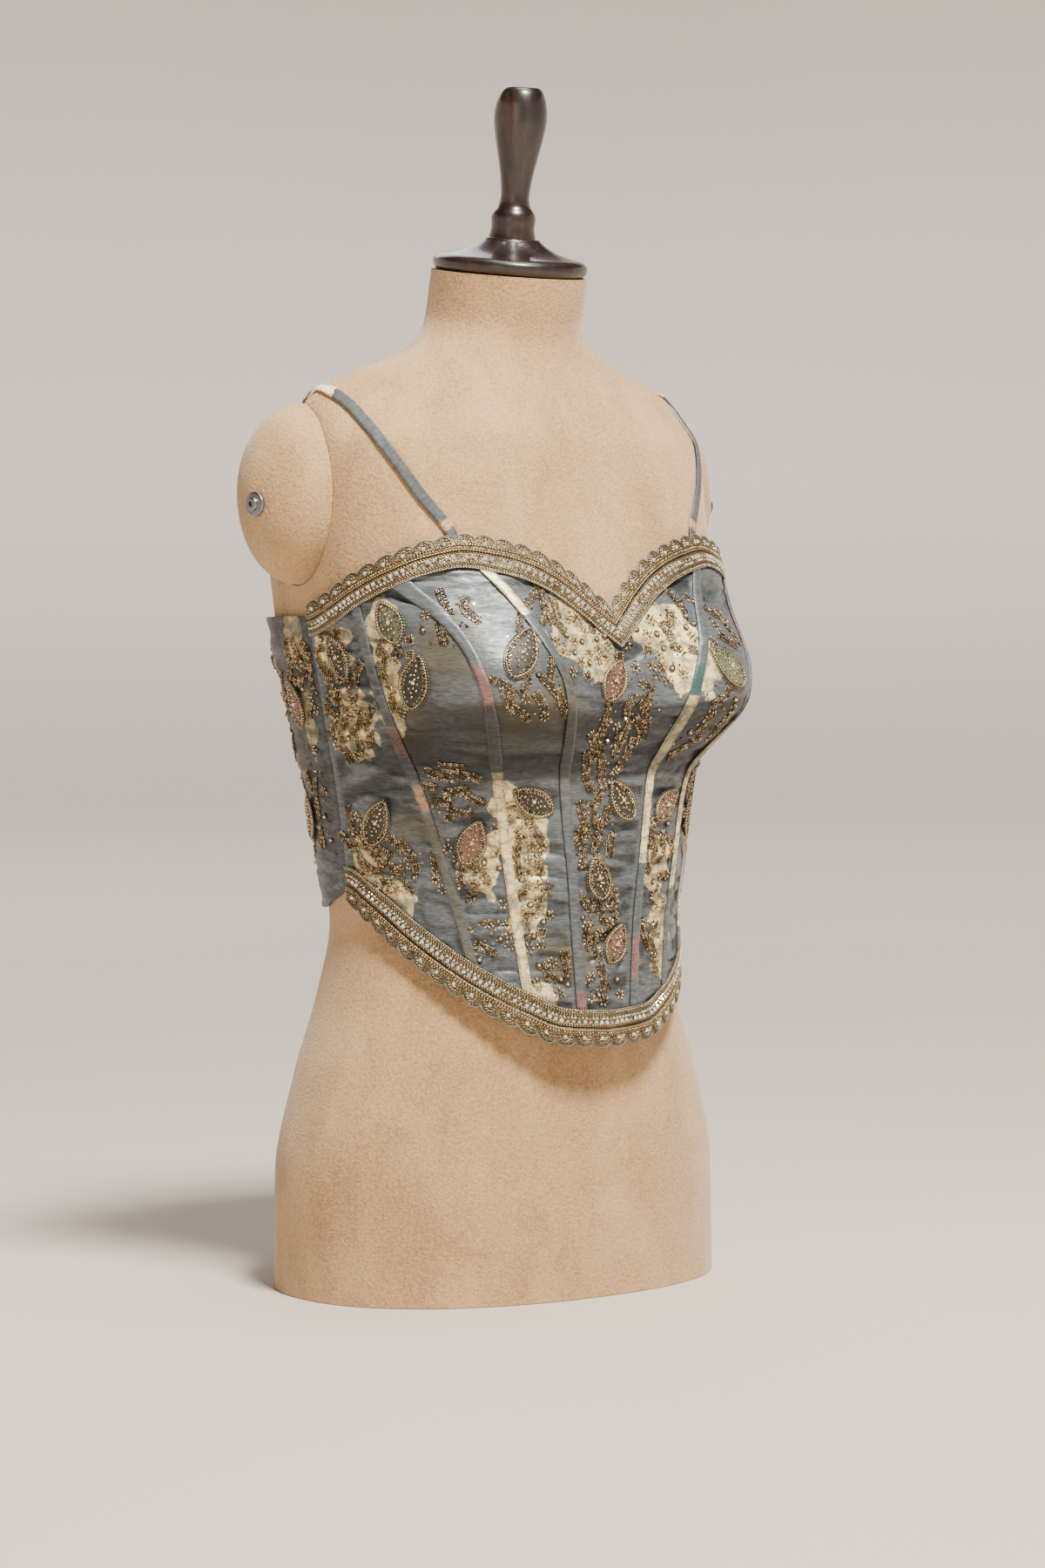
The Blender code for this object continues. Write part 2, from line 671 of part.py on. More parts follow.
def build():
    """Makes every piece."""
    clear_scene()
    blouse = bpy.data.collections.new("corset_blouse")
    cutters = bpy.data.collections.new("cutters")
    cutters.hide_render = True
    bpy.context.scene.collection.children.link(blouse)
    bpy.context.scene.collection.children.link(cutters)
    form_axis(blouse)

    def seam(name):
        return lambda rise: seam_angle(name, rise)

    inner, back = seam("inner"), seam("back")
    panel("front_centre", mirrored(inner), inner, FRONT_COLUMNS, blouse)
    for piece in SIDE_PANELS:
        low, high = seam(piece.low_seam), seam(piece.high_seam)
        panel(f"{piece.name}_right", low, high, piece.columns, blouse)
        panel(f"{piece.name}_left", mirrored(high), mirrored(low), piece.columns, blouse)
    for name in ("inner", "cup", "outer"):
        channel(f"channel_{name}_right", seam(name), CHANNEL_WIDTH, blouse)
        channel(f"channel_{name}_left", mirrored(seam(name)), CHANNEL_WIDTH, blouse)
    channel("back_placket", back, PLACKET_WIDTH, blouse, full=True)

    lace("neck_lace", neck_height, NECK_BORDER, blouse)
    braid("neck_braid", neck_height, NECK_BORDER, blouse)
    lace("hem_lace", hem_height, HEM_BORDER, blouse)
    braid("hem_braid", hem_height, HEM_BORDER, blouse)
    for number, spec in enumerate(LEAVES, start=1):
        leaf(f"leaf_{number:02d}", spec, blouse)

    form = torso(blouse, cutters)
    bpy.context.view_layer.update()
    skin = BVHTree.FromObject(form, bpy.context.evaluated_depsgraph_get())
    for word, side in SIDES:
        cap(f"form_cap_{word}", side, blouse)
        strap(f"strap_{word}", side, skin, blouse)
        stud = turned(f"stud_{word}", STUD_PROFILE, STUD_SIDES, "metal", blouse)
        lean = math.asin((CAP_CENTRE.y - STUD_Y) / CAP_HALF_DEPTH)
        seat = CAP_SKIRT + CAP_BULGE * math.cos(lean) ** CAP_ROUNDNESS + 2 * TOUCH_GAP
        swing = math.atan(CAP_BULGE / CAP_HALF_DEPTH * math.tan(lean))
        stud.location = (side * (CAP_CENTRE.x + seat), STUD_Y, STUD_Z)
        stud.rotation_euler = (0.0, side * math.pi / 2, -side * swing)

    neck = FORM_SECTIONS[-1]
    lean = math.atan(NECK_TILT)
    axis = Vector((0.0, -math.sin(lean), math.cos(lean)))
    seat = Vector((0.0, neck.centre, NECK_TOP))
    plate = turned("neck_plate", PLATE_PROFILE, TURNED_SIDES, "wood", blouse)
    plate.location = seat + axis * TOUCH_GAP
    plate.rotation_euler = (lean, 0.0, 0.0)
    finial = turned("finial", FINIAL_PROFILE, TURNED_SIDES, "wood", blouse)
    finial.location = seat + axis * (PLATE_PROFILE[0].height + 2 * TOUCH_GAP)
    finial.rotation_euler = (lean, 0.0, 0.0)


build()
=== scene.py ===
"""Looks of a boned corset blouse on its limbless dress form.

Metres, +Z up. The front faces -Y and the wearer's right side is -X. The blouse is one smooth
surface given by girth sections and two cups. A place on it is an angle in degrees from centre
front, positive towards the wearer's right, and a height. Panels, channels, trims, leaves and
embroidery are all laid on that surface, each at its own height above it.
"""
import json
import logging
import math
from collections.abc import Callable, Sequence
from dataclasses import dataclass, field
from enum import Enum

import bmesh
import bpy
import numpy as np
from mathutils import Matrix, Vector
from mathutils.bvhtree import BVHTree

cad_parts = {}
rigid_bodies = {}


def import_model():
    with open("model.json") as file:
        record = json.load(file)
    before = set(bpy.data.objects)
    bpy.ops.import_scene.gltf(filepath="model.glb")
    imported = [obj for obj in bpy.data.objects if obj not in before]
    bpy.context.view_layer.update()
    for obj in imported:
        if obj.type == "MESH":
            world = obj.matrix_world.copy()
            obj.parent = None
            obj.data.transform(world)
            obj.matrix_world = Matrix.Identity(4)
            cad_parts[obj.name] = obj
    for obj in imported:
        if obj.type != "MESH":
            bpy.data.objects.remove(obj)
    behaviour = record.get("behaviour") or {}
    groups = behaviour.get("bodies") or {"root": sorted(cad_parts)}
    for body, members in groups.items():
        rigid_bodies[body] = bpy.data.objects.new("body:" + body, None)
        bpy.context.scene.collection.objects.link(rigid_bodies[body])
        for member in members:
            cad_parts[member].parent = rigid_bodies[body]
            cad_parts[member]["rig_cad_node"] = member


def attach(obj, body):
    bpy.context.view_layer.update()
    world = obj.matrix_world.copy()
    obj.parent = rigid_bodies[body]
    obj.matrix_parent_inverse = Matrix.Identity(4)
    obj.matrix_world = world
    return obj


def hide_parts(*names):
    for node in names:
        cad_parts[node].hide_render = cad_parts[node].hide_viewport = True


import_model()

Array = np.ndarray
Triple = tuple[float, float, float]
Colour = Triple
Finish = bpy.types.Material
Socket = bpy.types.NodeSocket

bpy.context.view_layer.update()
LOG = logging.getLogger("corset")
BODY = "root"

AXIS_Y = -0.00668
GIRTH_CENTRE = 0.020
MEAN_RADIUS = 0.135
SMALL_STEP = 0.0005
SIDE_SEAM = 90.0
BACK_SEAM = 180.0
LAYER_GAP = 0.0008
TUCK = 0.0002
SEAM_LOW = 0.0030
SEAM_HIGH = 0.0075
MERGE_GAP = 1e-6
SIDES = (("right", -1), ("left", 1))


class Slot(Enum):
    """The record's material slots."""

    SILK = "silk"
    CHANNEL = "channel"
    BORDER = "border"
    LEAF = "leaf"
    VELOUR = "velour"
    WOOD = "wood"
    METAL = "metal"


class SmoothColumn:
    """A smooth curve through the values of a table, which never overshoots a row."""

    def __init__(self, stations: Sequence[float], values: Sequence[float]) -> None:
        """Works out the slopes at the rows.

        Args:
            stations: The rows' places, rising.
            values: The value at each place.
        """
        self.stations = np.asarray(stations, float)
        self.values = np.asarray(values, float)
        self.steps = np.diff(self.stations)
        rises = np.diff(self.values) / self.steps
        self.slopes = np.concatenate(([rises[0]], np.zeros(len(rises) - 1), [rises[-1]]))
        for k in range(1, len(rises)):
            if rises[k - 1] * rises[k] > 0:
                near = 2 * self.steps[k] + self.steps[k - 1]
                far = self.steps[k] + 2 * self.steps[k - 1]
                self.slopes[k] = (near + far) / (near / rises[k - 1] + far / rises[k])

    def __call__(self, at: Array | float) -> Array:
        """The value at one or more places, held level past both ends.

        Args:
            at: Places, one or many.

        Returns:
            The values, as many.
        """
        at = np.clip(np.asarray(at, float), self.stations[0], self.stations[-1])
        k = np.clip(np.searchsorted(self.stations, at, side="right") - 1, 0, len(self.steps) - 1)
        t = (at - self.stations[k]) / self.steps[k]
        low = (1 + 2 * t) * (1 - t) ** 2 * self.values[k]
        low += t * (1 - t) ** 2 * self.steps[k] * self.slopes[k]
        high = t * t * (3 - 2 * t) * self.values[k + 1]
        return low + high - t * t * (1 - t) * self.steps[k] * self.slopes[k + 1]


@dataclass(frozen=True)
class Section:
    """One girth of a torso: its depths and widths from the centre at one height."""

    height: float
    half_width: float
    front: float
    back: float
    roundness: float
    centre: float = GIRTH_CENTRE
    tilt: float = 0.0


@dataclass(frozen=True)
class Cup:
    """A bust cup: where it stands and how far it bulges and spreads."""

    angle: float
    height: float
    bulge: float
    inner_spread: float
    outer_spread: float
    rise: float
    fall: float


NECK_TILT = 0.12
NECK_TOP = 0.710
FORM_SECTIONS = (
    Section(0.000, 0.168, 0.116, 0.122, 2.2),
    Section(0.080, 0.167, 0.114, 0.122, 2.2),
    Section(0.150, 0.151, 0.110, 0.115, 2.2),
    Section(0.205, 0.134, 0.107, 0.108, 2.1),
    Section(0.255, 0.1256, 0.106, 0.103, 2.0),
    Section(0.305, 0.1275, 0.111, 0.110, 2.1),
    Section(0.360, 0.134, 0.121, 0.120, 2.2),
    Section(0.415, 0.146, 0.138, 0.125, 2.4),
    Section(0.470, 0.157, 0.123, 0.123, 2.6),
    Section(0.520, 0.159, 0.104, 0.129, 2.7),
    Section(0.560, 0.159, 0.093, 0.124, 2.7),
    Section(0.590, 0.159, 0.087, 0.108, 2.4),
    Section(0.610, 0.157, 0.082, 0.088, 1.9, 0.024),
    Section(0.623, 0.151, 0.078, 0.072, 1.7, 0.027),
    Section(0.634, 0.134, 0.074, 0.061, 1.6, 0.027),
    Section(0.644, 0.108, 0.069, 0.053, 1.6, 0.025),
    Section(0.654, 0.080, 0.063, 0.050, 1.8, 0.021),
    Section(0.664, 0.063, 0.057, 0.051, 2.0, 0.016, 0.03),
    Section(0.680, 0.056, 0.055, 0.053, 2.0, 0.012, 0.08),
    Section(NECK_TOP, 0.055, 0.055, 0.055, 2.0, 0.005, NECK_TILT),
)
CORSET_SECTIONS = (
    Section(0.150, 0.134, 0.130, 0.116, 2.0),
    Section(0.200, 0.130, 0.129, 0.114, 2.0),
    Section(0.260, 0.128, 0.128, 0.115, 2.0),
    Section(0.300, 0.131, 0.129, 0.121, 2.1),
    Section(0.360, 0.140, 0.129, 0.126, 2.2),
    Section(0.384, 0.145, 0.138, 0.128, 2.3),
    Section(0.420, 0.152, 0.148, 0.130, 2.4),
    Section(0.445, 0.157, 0.143, 0.131, 2.6),
    Section(0.482, 0.162, 0.126, 0.132, 2.7),
    Section(0.540, 0.163, 0.102, 0.132, 2.7),
)
FORM_CUP = Cup(33.0, 0.420, 0.024, 15.0, 18.0, 0.052, 0.036)
CORSET_CUP = Cup(33.0, 0.416, 0.026, 16.0, 20.0, 0.062, 0.036)

NECK_EDGE = (
    (0.0, 0.4680), (5.0, 0.4775), (10.0, 0.4870), (20.0, 0.5020), (28.0, 0.5100),
    (36.0, 0.5150), (46.0, 0.5185), (55.0, 0.5140), (65.0, 0.5030), (73.0, 0.4920),
    (82.0, 0.4790), (90.0, 0.4720), (100.0, 0.4710), (122.0, 0.4690), (180.0, 0.4660),
)
HEM_EDGE = (
    (0.0, 0.1845), (16.0, 0.1875), (29.0, 0.1990), (46.0, 0.2195), (64.0, 0.2460),
    (80.0, 0.2710), (90.0, 0.2820), (96.0, 0.2760), (111.0, 0.2660), (180.0, 0.2620),
)


@dataclass(frozen=True)
class SeamRow:
    """Angles of the three front seams at a share of the way from hem to neck edge."""

    rise: float
    inner: float
    cup: float
    outer: float


SEAM_ROWS = (
    SeamRow(0.00, 9.5, 26.0, 42.0),
    SeamRow(0.30, 12.6, 33.0, 54.5),
    SeamRow(0.50, 15.8, 36.5, 61.7),
    SeamRow(0.68, 18.0, 38.5, 67.0),
    SeamRow(0.76, 20.0, 41.8, 68.7),
    SeamRow(0.84, 25.5, 49.0, 70.0),
    SeamRow(0.91, 33.0, 57.0, 71.5),
    SeamRow(1.00, 47.0, 65.0, 73.0),
)


class Girth:
    """A torso surface given by girth sections and a pair of cups."""

    LEVEL = 0.10
    UNDER = 0.46

    def __init__(self, sections: Sequence[Section], cup: Cup) -> None:
        """Reads the sections' columns.

        Args:
            sections: The girths, from the lowest up.
            cup: The cup on each side.
        """
        heights = [row.height for row in sections]
        names = ("half_width", "front", "back", "roundness", "centre", "tilt")
        self.column = {n: SmoothColumn(heights, [getattr(row, n) for row in sections]) for n in names}
        self.cup = cup

    def bulge(self, angle: Array, height: Array) -> Array:
        """How far the cups stand out from the sections.

        Args:
            angle: Angles from centre front.
            height: Heights.

        Returns:
            Metres outwards.
        """
        across = np.abs(angle) - self.cup.angle
        spread = np.where(across > 0, self.cup.outer_spread, self.cup.inner_spread)
        up = height - self.cup.height
        reach = np.where(up > 0, self.cup.rise, self.cup.fall)
        return self.cup.bulge * np.exp(-((across / spread) ** 2) - (up / reach) ** 2)

    def point(self, angle: Array | float, height: Array | float) -> Array:
        """Points of the surface.

        Args:
            angle: Degrees from centre front, one or many.
            height: Heights, one or many.

        Returns:
            The points, with x, y and z along the last axis.
        """
        angle, height = np.broadcast_arrays(np.asarray(angle, float), np.asarray(height, float))
        turn = np.radians(angle)
        front = np.abs(angle) <= SIDE_SEAM
        depth = np.where(front, self.column["front"](height), self.column["back"](height))
        power = self.column["roundness"](height)
        sideways = np.abs(np.sin(turn)) / self.column["half_width"](height)
        lengthways = np.abs(np.cos(turn)) / depth
        radius = (sideways**power + lengthways**power) ** (-1 / power) + self.bulge(angle, height)
        centre = self.column["centre"](height)
        y = centre - radius * np.cos(turn)
        lift = self.column["tilt"](height) * (y - centre)
        return np.stack([-radius * np.sin(turn), y + AXIS_Y, height + lift], axis=-1)

    def axes(self, angle: Array, height: Array) -> tuple[Array, Array, Array]:
        """Unit vectors towards rising angle, up the surface and out of it.

        Args:
            angle: Angles from centre front.
            height: Heights.

        Returns:
            The three directions.
        """
        here = self.point(angle, height)
        beside = np.asarray(angle, float) + math.degrees(SMALL_STEP / MEAN_RADIUS)
        sideways = unit(self.point(beside, height) - here)
        upwards = unit(self.point(angle, np.asarray(height, float) + SMALL_STEP) - here)
        return sideways, upwards, unit(np.cross(upwards, sideways))

    def underside(self, angle: Array, height: Array) -> Array:
        """How far the surface faces down, from 0 to 1."""
        return ease(-self.axes(angle, height)[2][..., 2], self.LEVEL, self.UNDER)

    def lifted(self, angle: Array, height: Array, out: Array | float) -> Array:
        """Points of the surface moved out along its normal."""
        normal = self.axes(angle, height)[2]
        return self.point(angle, height) + normal * np.asarray(out, float)[..., None]


def unit(vectors: Array) -> Array:
    """The vectors at length one."""
    return vectors / np.maximum(np.linalg.norm(vectors, axis=-1, keepdims=True), 1e-12)


def ease(values: Array, low: float, high: float) -> Array:
    """A soft step from 0 at low to 1 at high."""
    t = np.clip((values - low) / (high - low), 0.0, 1.0)
    return t * t * (3 - 2 * t)


def run_along(path: Array) -> Array:
    """The length of a path up to each of its points."""
    return np.concatenate(([0.0], np.cumsum(np.linalg.norm(np.diff(path, axis=0), axis=1))))


def read_along(marks: Array, run: Array, values: Array) -> Array:
    """Vectors at marks along a path, read between those at its points."""
    return np.stack([np.interp(marks, run, values[:, axis]) for axis in range(3)], -1)


def grey(level: float) -> Colour:
    """A colour of one level."""
    return (level,) * 3


def fresh_object(name: str, data: bpy.types.ID) -> bpy.types.Object:
    """Puts a mesh, light or camera into the scene.

    Args:
        name: The object's name.
        data: What it shows.

    Returns:
        The object.
    """
    obj = bpy.data.objects.new(name, data)
    bpy.context.scene.collection.objects.link(obj)
    return obj


def mesh_from(bm: bmesh.types.BMesh, name: str) -> bpy.types.Mesh:
    """Makes a mesh of a bmesh, which is freed.

    Args:
        bm: The bmesh.
        name: The mesh's name.

    Returns:
        The mesh.
    """
    mesh = bpy.data.meshes.new(name)
    bm.to_mesh(mesh)
    bm.free()
    return mesh


def spun(outline: Sequence[tuple[float, float]], sides: int) -> bmesh.types.BMesh:
    """Turns an outline about Z.

    Args:
        outline: Radius and height of each point.
        sides: Steps of the whole turn.

    Returns:
        The turned sheet, closed where the outline starts and ends on the axis.
    """
    bm = bmesh.new()
    verts = [bm.verts.new((max(radius, 0.0), 0.0, height)) for radius, height in outline]
    for here, after in zip(verts, verts[1:]):
        bm.edges.new((here, after))
    bmesh.ops.spin(
        bm, geom=bm.verts[:] + bm.edges[:], cent=(0, 0, 0), axis=(0, 0, 1), angle=2 * math.pi,
        steps=sides, use_merge=True,
    )
    bmesh.ops.remove_doubles(bm, verts=bm.verts, dist=MERGE_GAP)
    return bm


def smooth_faces(mesh: bpy.types.Mesh) -> None:
    """Shades every face smooth."""
    mesh.polygons.foreach_set("use_smooth", [True] * len(mesh.polygons))


def add_node(
    tree: bpy.types.NodeTree, kind: str, inputs: dict[str | int, object] | None = None, **options: str
) -> bpy.types.Node:
    """Adds a node to a tree.

    Args:
        tree: The tree.
        kind: The node's type.
        inputs: A socket to link or a value to set for each input, by name or number.
        **options: The node's own settings.

    Returns:
        The node.
    """
    node = tree.nodes.new(kind)
    for option, setting in options.items():
        setattr(node, option, setting)
    for name, value in (inputs or {}).items():
        if isinstance(value, Socket):
            tree.links.new(value, node.inputs[name])
        else:
            node.inputs[name].default_value = value
    return node


class SoftNoise:
    """Smooth random relief on a plane, the same on each run."""

    SIZE = 256

    def __init__(self, seed: int) -> None:
        """Fills the lattice.

        Args:
            seed: The start of the random draws.
        """
        self.lattice = np.random.default_rng(seed).uniform(-1.0, 1.0, (self.SIZE, self.SIZE))

    def __call__(self, u: Array, v: Array) -> Array:
        """Values from -1 to 1 at places given in lattice steps.

        Args:
            u: Places across.
            v: Places along.

        Returns:
            The values.
        """
        u, v = np.broadcast_arrays(np.asarray(u, float), np.asarray(v, float))
        left, low = np.floor(u).astype(int), np.floor(v).astype(int)
        s, t = u - left, v - low
        s, t = s * s * s * (s * (6 * s - 15) + 10), t * t * t * (t * (6 * t - 15) + 10)
        near, far = left % self.SIZE, (left + 1) % self.SIZE
        below, above = low % self.SIZE, (low + 1) % self.SIZE
        bottom = self.lattice[near, below] * (1 - s) + self.lattice[far, below] * s
        top = self.lattice[near, above] * (1 - s) + self.lattice[far, above] * s
        return bottom * (1 - t) + top * t


class Garment:
    """The blouse's own surface: its edges, its seams and places on it."""

    EDGE_STEP = 0.5

    def __init__(self) -> None:
        """Reads the tables of sections, edges and seams."""
        self.girth = Girth(CORSET_SECTIONS, CORSET_CUP)
        self.neck = SmoothColumn(*zip(*NECK_EDGE))
        self.hem = SmoothColumn(*zip(*HEM_EDGE))
        rises = [row.rise for row in SEAM_ROWS]
        self.seam_columns = {
            name: SmoothColumn(rises, [getattr(row, name) for row in SEAM_ROWS])
            for name in ("inner", "cup", "outer")
        }
        self.seam_columns["side"] = lambda rise: np.full_like(np.asarray(rise, float), SIDE_SEAM)
        self.seam_columns["back"] = lambda rise: np.full_like(np.asarray(rise, float), BACK_SEAM)

    def height(self, angle: Array, rise: Array) -> Array:
        """Height of the cloth at an angle and a share of the way up."""
        low = self.hem(np.abs(angle))
        return low + rise * (self.neck(np.abs(angle)) - low)

    def rise(self, angle: Array, height: Array) -> Array:
        """Share of the way up from hem to neck edge at a height."""
        low = self.hem(np.abs(angle))
        return (height - low) / (self.neck(np.abs(angle)) - low)

    def seam(self, name: str, side: int = 1) -> Callable[[Array], Array]:
        """A seam as a function from rise to an angle, on one side of the body."""
        return lambda rise: side * self.seam_columns[name](rise)

    def edge_runs(self, edge: SmoothColumn) -> tuple[Array, Array]:
        """Angles from centre front to the side seam and the edge's length up to each.

        Args:
            edge: The edge.

        Returns:
            The angles and the lengths.
        """
        angles = np.linspace(0.0, SIDE_SEAM, round(SIDE_SEAM / self.EDGE_STEP) + 1)
        return angles, run_along(self.girth.point(angles, edge(angles)))

    def edge_slope(self, edge: SmoothColumn, angle: Array) -> Array:
        """How much longer an edge is than its run round the girth.

        Args:
            edge: The edge.
            angle: Angles from centre front.

        Returns:
            The ratio, one or more.
        """
        outward = np.where(angle >= 0, self.EDGE_STEP, -self.EDGE_STEP)
        here, there = edge(np.abs(angle)), edge(np.abs(angle + outward))
        flat = self.girth.point(angle + outward, here) - self.girth.point(angle, here)
        run = np.linalg.norm(flat, axis=-1)
        return np.hypot(there - here, run) / run

    def on_cloth(
        self, angle: float, height: float, turn: float, across: Array, along: Array
    ) -> tuple[Array, Array]:
        """Angle and height of places given in metres about a spot on the cloth.

        Args:
            angle: The spot's angle.
            height: The spot's height.
            turn: Degrees by which the local up direction leans towards rising angle.
            across: Metres across the local up direction.
            along: Metres along it.

        Returns:
            Their angles and heights.
        """
        lean = math.radians(turn)
        middle = self.girth.point(angle, height)
        radius = math.hypot(middle[0], middle[1] - AXIS_Y - GIRTH_CENTRE)
        rightwards = along * math.sin(lean) + across * math.cos(lean)
        upwards = along * math.cos(lean) - across * math.sin(lean)
        return angle + np.degrees(rightwards / radius), height + upwards


class PieceMesh:
    """Gathers points, faces, UVs and finishes for one piece, then makes the object."""

    def __init__(self, name: str) -> None:
        """Starts an empty piece.

        Args:
            name: The piece's name.
        """
        self.name = name
        self.points: list[Array] = []
        self.faces: list[Array] = []
        self.uvs: list[Array] = []
        self.finish_of_face: list[Array] = []
        self.smooth_of_face: list[Array] = []
        self.tints: dict[str, list[Array]] = {}
        self.finishes: list[Finish] = []
        self.count = 0

    def finish_index(self, finish: Finish) -> int:
        """The slot number of a material, which is added when it is new.

        Args:
            finish: The material.

        Returns:
            Its number.
        """
        if finish not in self.finishes:
            self.finishes.append(finish)
        return self.finishes.index(finish)

    def add(
        self,
        points: Array,
        faces: Array,
        finish: Finish,
        uv: Array | None = None,
        smooth: bool = True,
        tints: dict[str, Array] | None = None,
    ) -> None:
        """Adds a lot of faces that all have the same number of corners.

        Args:
            points: The lot's own points.
            faces: Rows of indices into them.
            finish: The material.
            uv: A UV for each point, in metres.
            smooth: Whether the faces are shaded smooth.
            tints: Values from 0 to 1 for each point, by name.
        """
        points = points.reshape(-1, 3)
        faces = np.asarray(faces)
        uv = np.zeros((len(points), 2)) if uv is None else uv.reshape(-1, 2)
        self.uvs.append(uv[faces.ravel()])
        self.faces.append(faces + self.count)
        self.points.append(points)
        self.finish_of_face.append(np.full(len(faces), self.finish_index(finish)))
        self.smooth_of_face.append(np.full(len(faces), smooth))
        for name in set(self.tints) | set(tints or {}):
            lots = self.tints.setdefault(name, [np.zeros(self.count)])
            lots.append((tints or {}).get(name, np.zeros(len(points))).ravel())
        self.count += len(points)

    def shell(
        self,
        outer: Array,
        inner: Array,
        finish: Finish,
        uv: Array | None = None,
        tints: dict[str, Array] | None = None,
    ) -> None:
        """Adds a closed wall between two grids of points.

        Args:
            outer: The outer face, in rows from low to high, each towards rising angle.
            inner: The inner face, point for point.
            finish: The material.
            uv: A UV for each point of a grid.
            tints: Values for each point of a grid.
        """
        rows, columns = outer.shape[:2]
        k = np.arange(rows * columns).reshape(rows, columns)
        a, b, c, d = k[:-1, :-1], k[1:, :-1], k[1:, 1:], k[:-1, 1:]
        front = np.stack([a, b, c, d], -1).reshape(-1, 4)
        back = np.stack([a, d, c, b], -1).reshape(-1, 4) + rows * columns
        rim = np.concatenate([k[0, :], k[1:, -1], k[-1, -2::-1], k[-2:0:-1, 0]])
        after = np.roll(rim, -1)
        edge = np.stack([rim, after, after + rows * columns, rim + rows * columns], -1)
        doubled = {n: np.concatenate([t.ravel(), t.ravel()]) for n, t in (tints or {}).items()}
        points = np.concatenate([outer.reshape(-1, 3), inner.reshape(-1, 3)])
        uv = None if uv is None else np.concatenate([uv.reshape(-1, 2)] * 2)
        self.add(points, np.concatenate([front, back, edge]), finish, uv, tints=doubled)

    def tube(
        self,
        path: Array,
        normals: Array,
        radius: float | Array,
        finish: Finish,
        sides: int = 6,
        closed: bool = False,
    ) -> None:
        """Adds a cord that follows a path.

        Args:
            path: The cord's centre line.
            normals: A direction out of the cloth at each point.
            radius: The cord's radius, one or one a point.
            finish: The material.
            sides: Corners of its section.
            closed: Whether the end meets the start.
        """
        count = len(path)
        if closed:
            along = unit(np.roll(path, -1, axis=0) - np.roll(path, 1, axis=0))
        else:
            along = unit(np.gradient(path, axis=0))
        side = unit(np.cross(along, normals))
        up = np.cross(side, along)
        turn = np.arange(sides) * (2 * math.pi / sides)
        ring = np.cos(turn)[None, :, None] * side[:, None] + np.sin(turn)[None, :, None] * up[:, None]
        size = np.broadcast_to(np.asarray(radius, float), (count,))
        points = path[:, None] + ring * size[:, None, None]
        uv = np.stack(np.broadcast_arrays(run_along(path)[:, None], turn[None, :] / (2 * math.pi)), -1)
        k = np.arange(count * sides).reshape(count, sides)
        onward = np.roll(k, -1, axis=0) if closed else k[1:]
        here = k if closed else k[:-1]
        beside, beyond = np.roll(here, -1, axis=1), np.roll(onward, -1, axis=1)
        faces = np.stack([here, beside, beyond, onward], -1).reshape(-1, 4)
        self.add(points, faces, finish, uv)
        if not closed:
            self.add(points[0], np.arange(sides)[None, ::-1], finish)
            self.add(points[-1], np.arange(sides)[None, :], finish)

    def add_mesh(self, mesh: bpy.types.Mesh, finish: Finish, smooth: bool) -> None:
        """Adds a finished mesh whose faces may have any number of corners.

        Args:
            mesh: The mesh, in place.
            finish: The material.
            smooth: Whether its faces are shaded smooth.
        """
        points = np.empty(len(mesh.vertices) * 3, np.float32)
        mesh.vertices.foreach_get("co", points)
        totals = np.empty(len(mesh.polygons), np.int32)
        starts = np.empty(len(mesh.polygons), np.int32)
        corners = np.empty(len(mesh.loops), np.int32)
        mesh.polygons.foreach_get("loop_total", totals)
        mesh.polygons.foreach_get("loop_start", starts)
        mesh.loops.foreach_get("vertex_index", corners)
        base = points.reshape(-1, 3).astype(float)
        offset = self.count
        for number, total in enumerate(sorted(set(totals.tolist()))):
            picked = starts[totals == total]
            faces = corners[picked[:, None] + np.arange(total)]
            if number == 0:
                self.add(base, faces, finish, smooth=smooth)
            else:
                self.faces.append(faces + offset)
                self.uvs.append(np.zeros((faces.size, 2)))
                self.finish_of_face.append(np.full(len(faces), self.finish_index(finish)))
                self.smooth_of_face.append(np.full(len(faces), smooth))

    def make(self) -> bpy.types.Object:
        """Makes the object from all that was added.

        Returns:
            The object.
        """
        points = np.concatenate(self.points)
        corners = np.concatenate([faces.ravel() for faces in self.faces])
        totals = np.concatenate([np.full(len(faces), faces.shape[1]) for faces in self.faces])
        starts = np.concatenate(([0], np.cumsum(totals)[:-1]))
        mesh = bpy.data.meshes.new(self.name)
        mesh.vertices.add(len(points))
        mesh.vertices.foreach_set("co", points.astype(np.float32).ravel())
        mesh.loops.add(len(corners))
        mesh.loops.foreach_set("vertex_index", corners.astype(np.int32))
        mesh.polygons.add(len(totals))
        mesh.polygons.foreach_set("loop_start", starts.astype(np.int32))
        for finish in self.finishes:
            mesh.materials.append(finish)
        mesh.update(calc_edges=True)
        mesh.polygons.foreach_set("material_index", np.concatenate(self.finish_of_face).astype(np.int32))
        mesh.polygons.foreach_set("use_smooth", np.concatenate(self.smooth_of_face))
        layer = mesh.uv_layers.new(name="UVMap")
        layer.data.foreach_set("uv", np.concatenate(self.uvs).astype(np.float32).ravel())
        for name, lots in self.tints.items():
            attribute = mesh.attributes.new(name, "FLOAT", "POINT")
            attribute.data.foreach_set("value", np.concatenate(lots).astype(np.float32))
        mesh.validate()
        mesh.update()
        return fresh_object(self.name, mesh)


class BeadShape(Enum):
    """Shapes that are sewn on in numbers."""

    STONE = "stone"
    BEAD = "bead"
    SEQUIN = "sequin"
    STITCH = "stitch"
    LOOP = "loop"


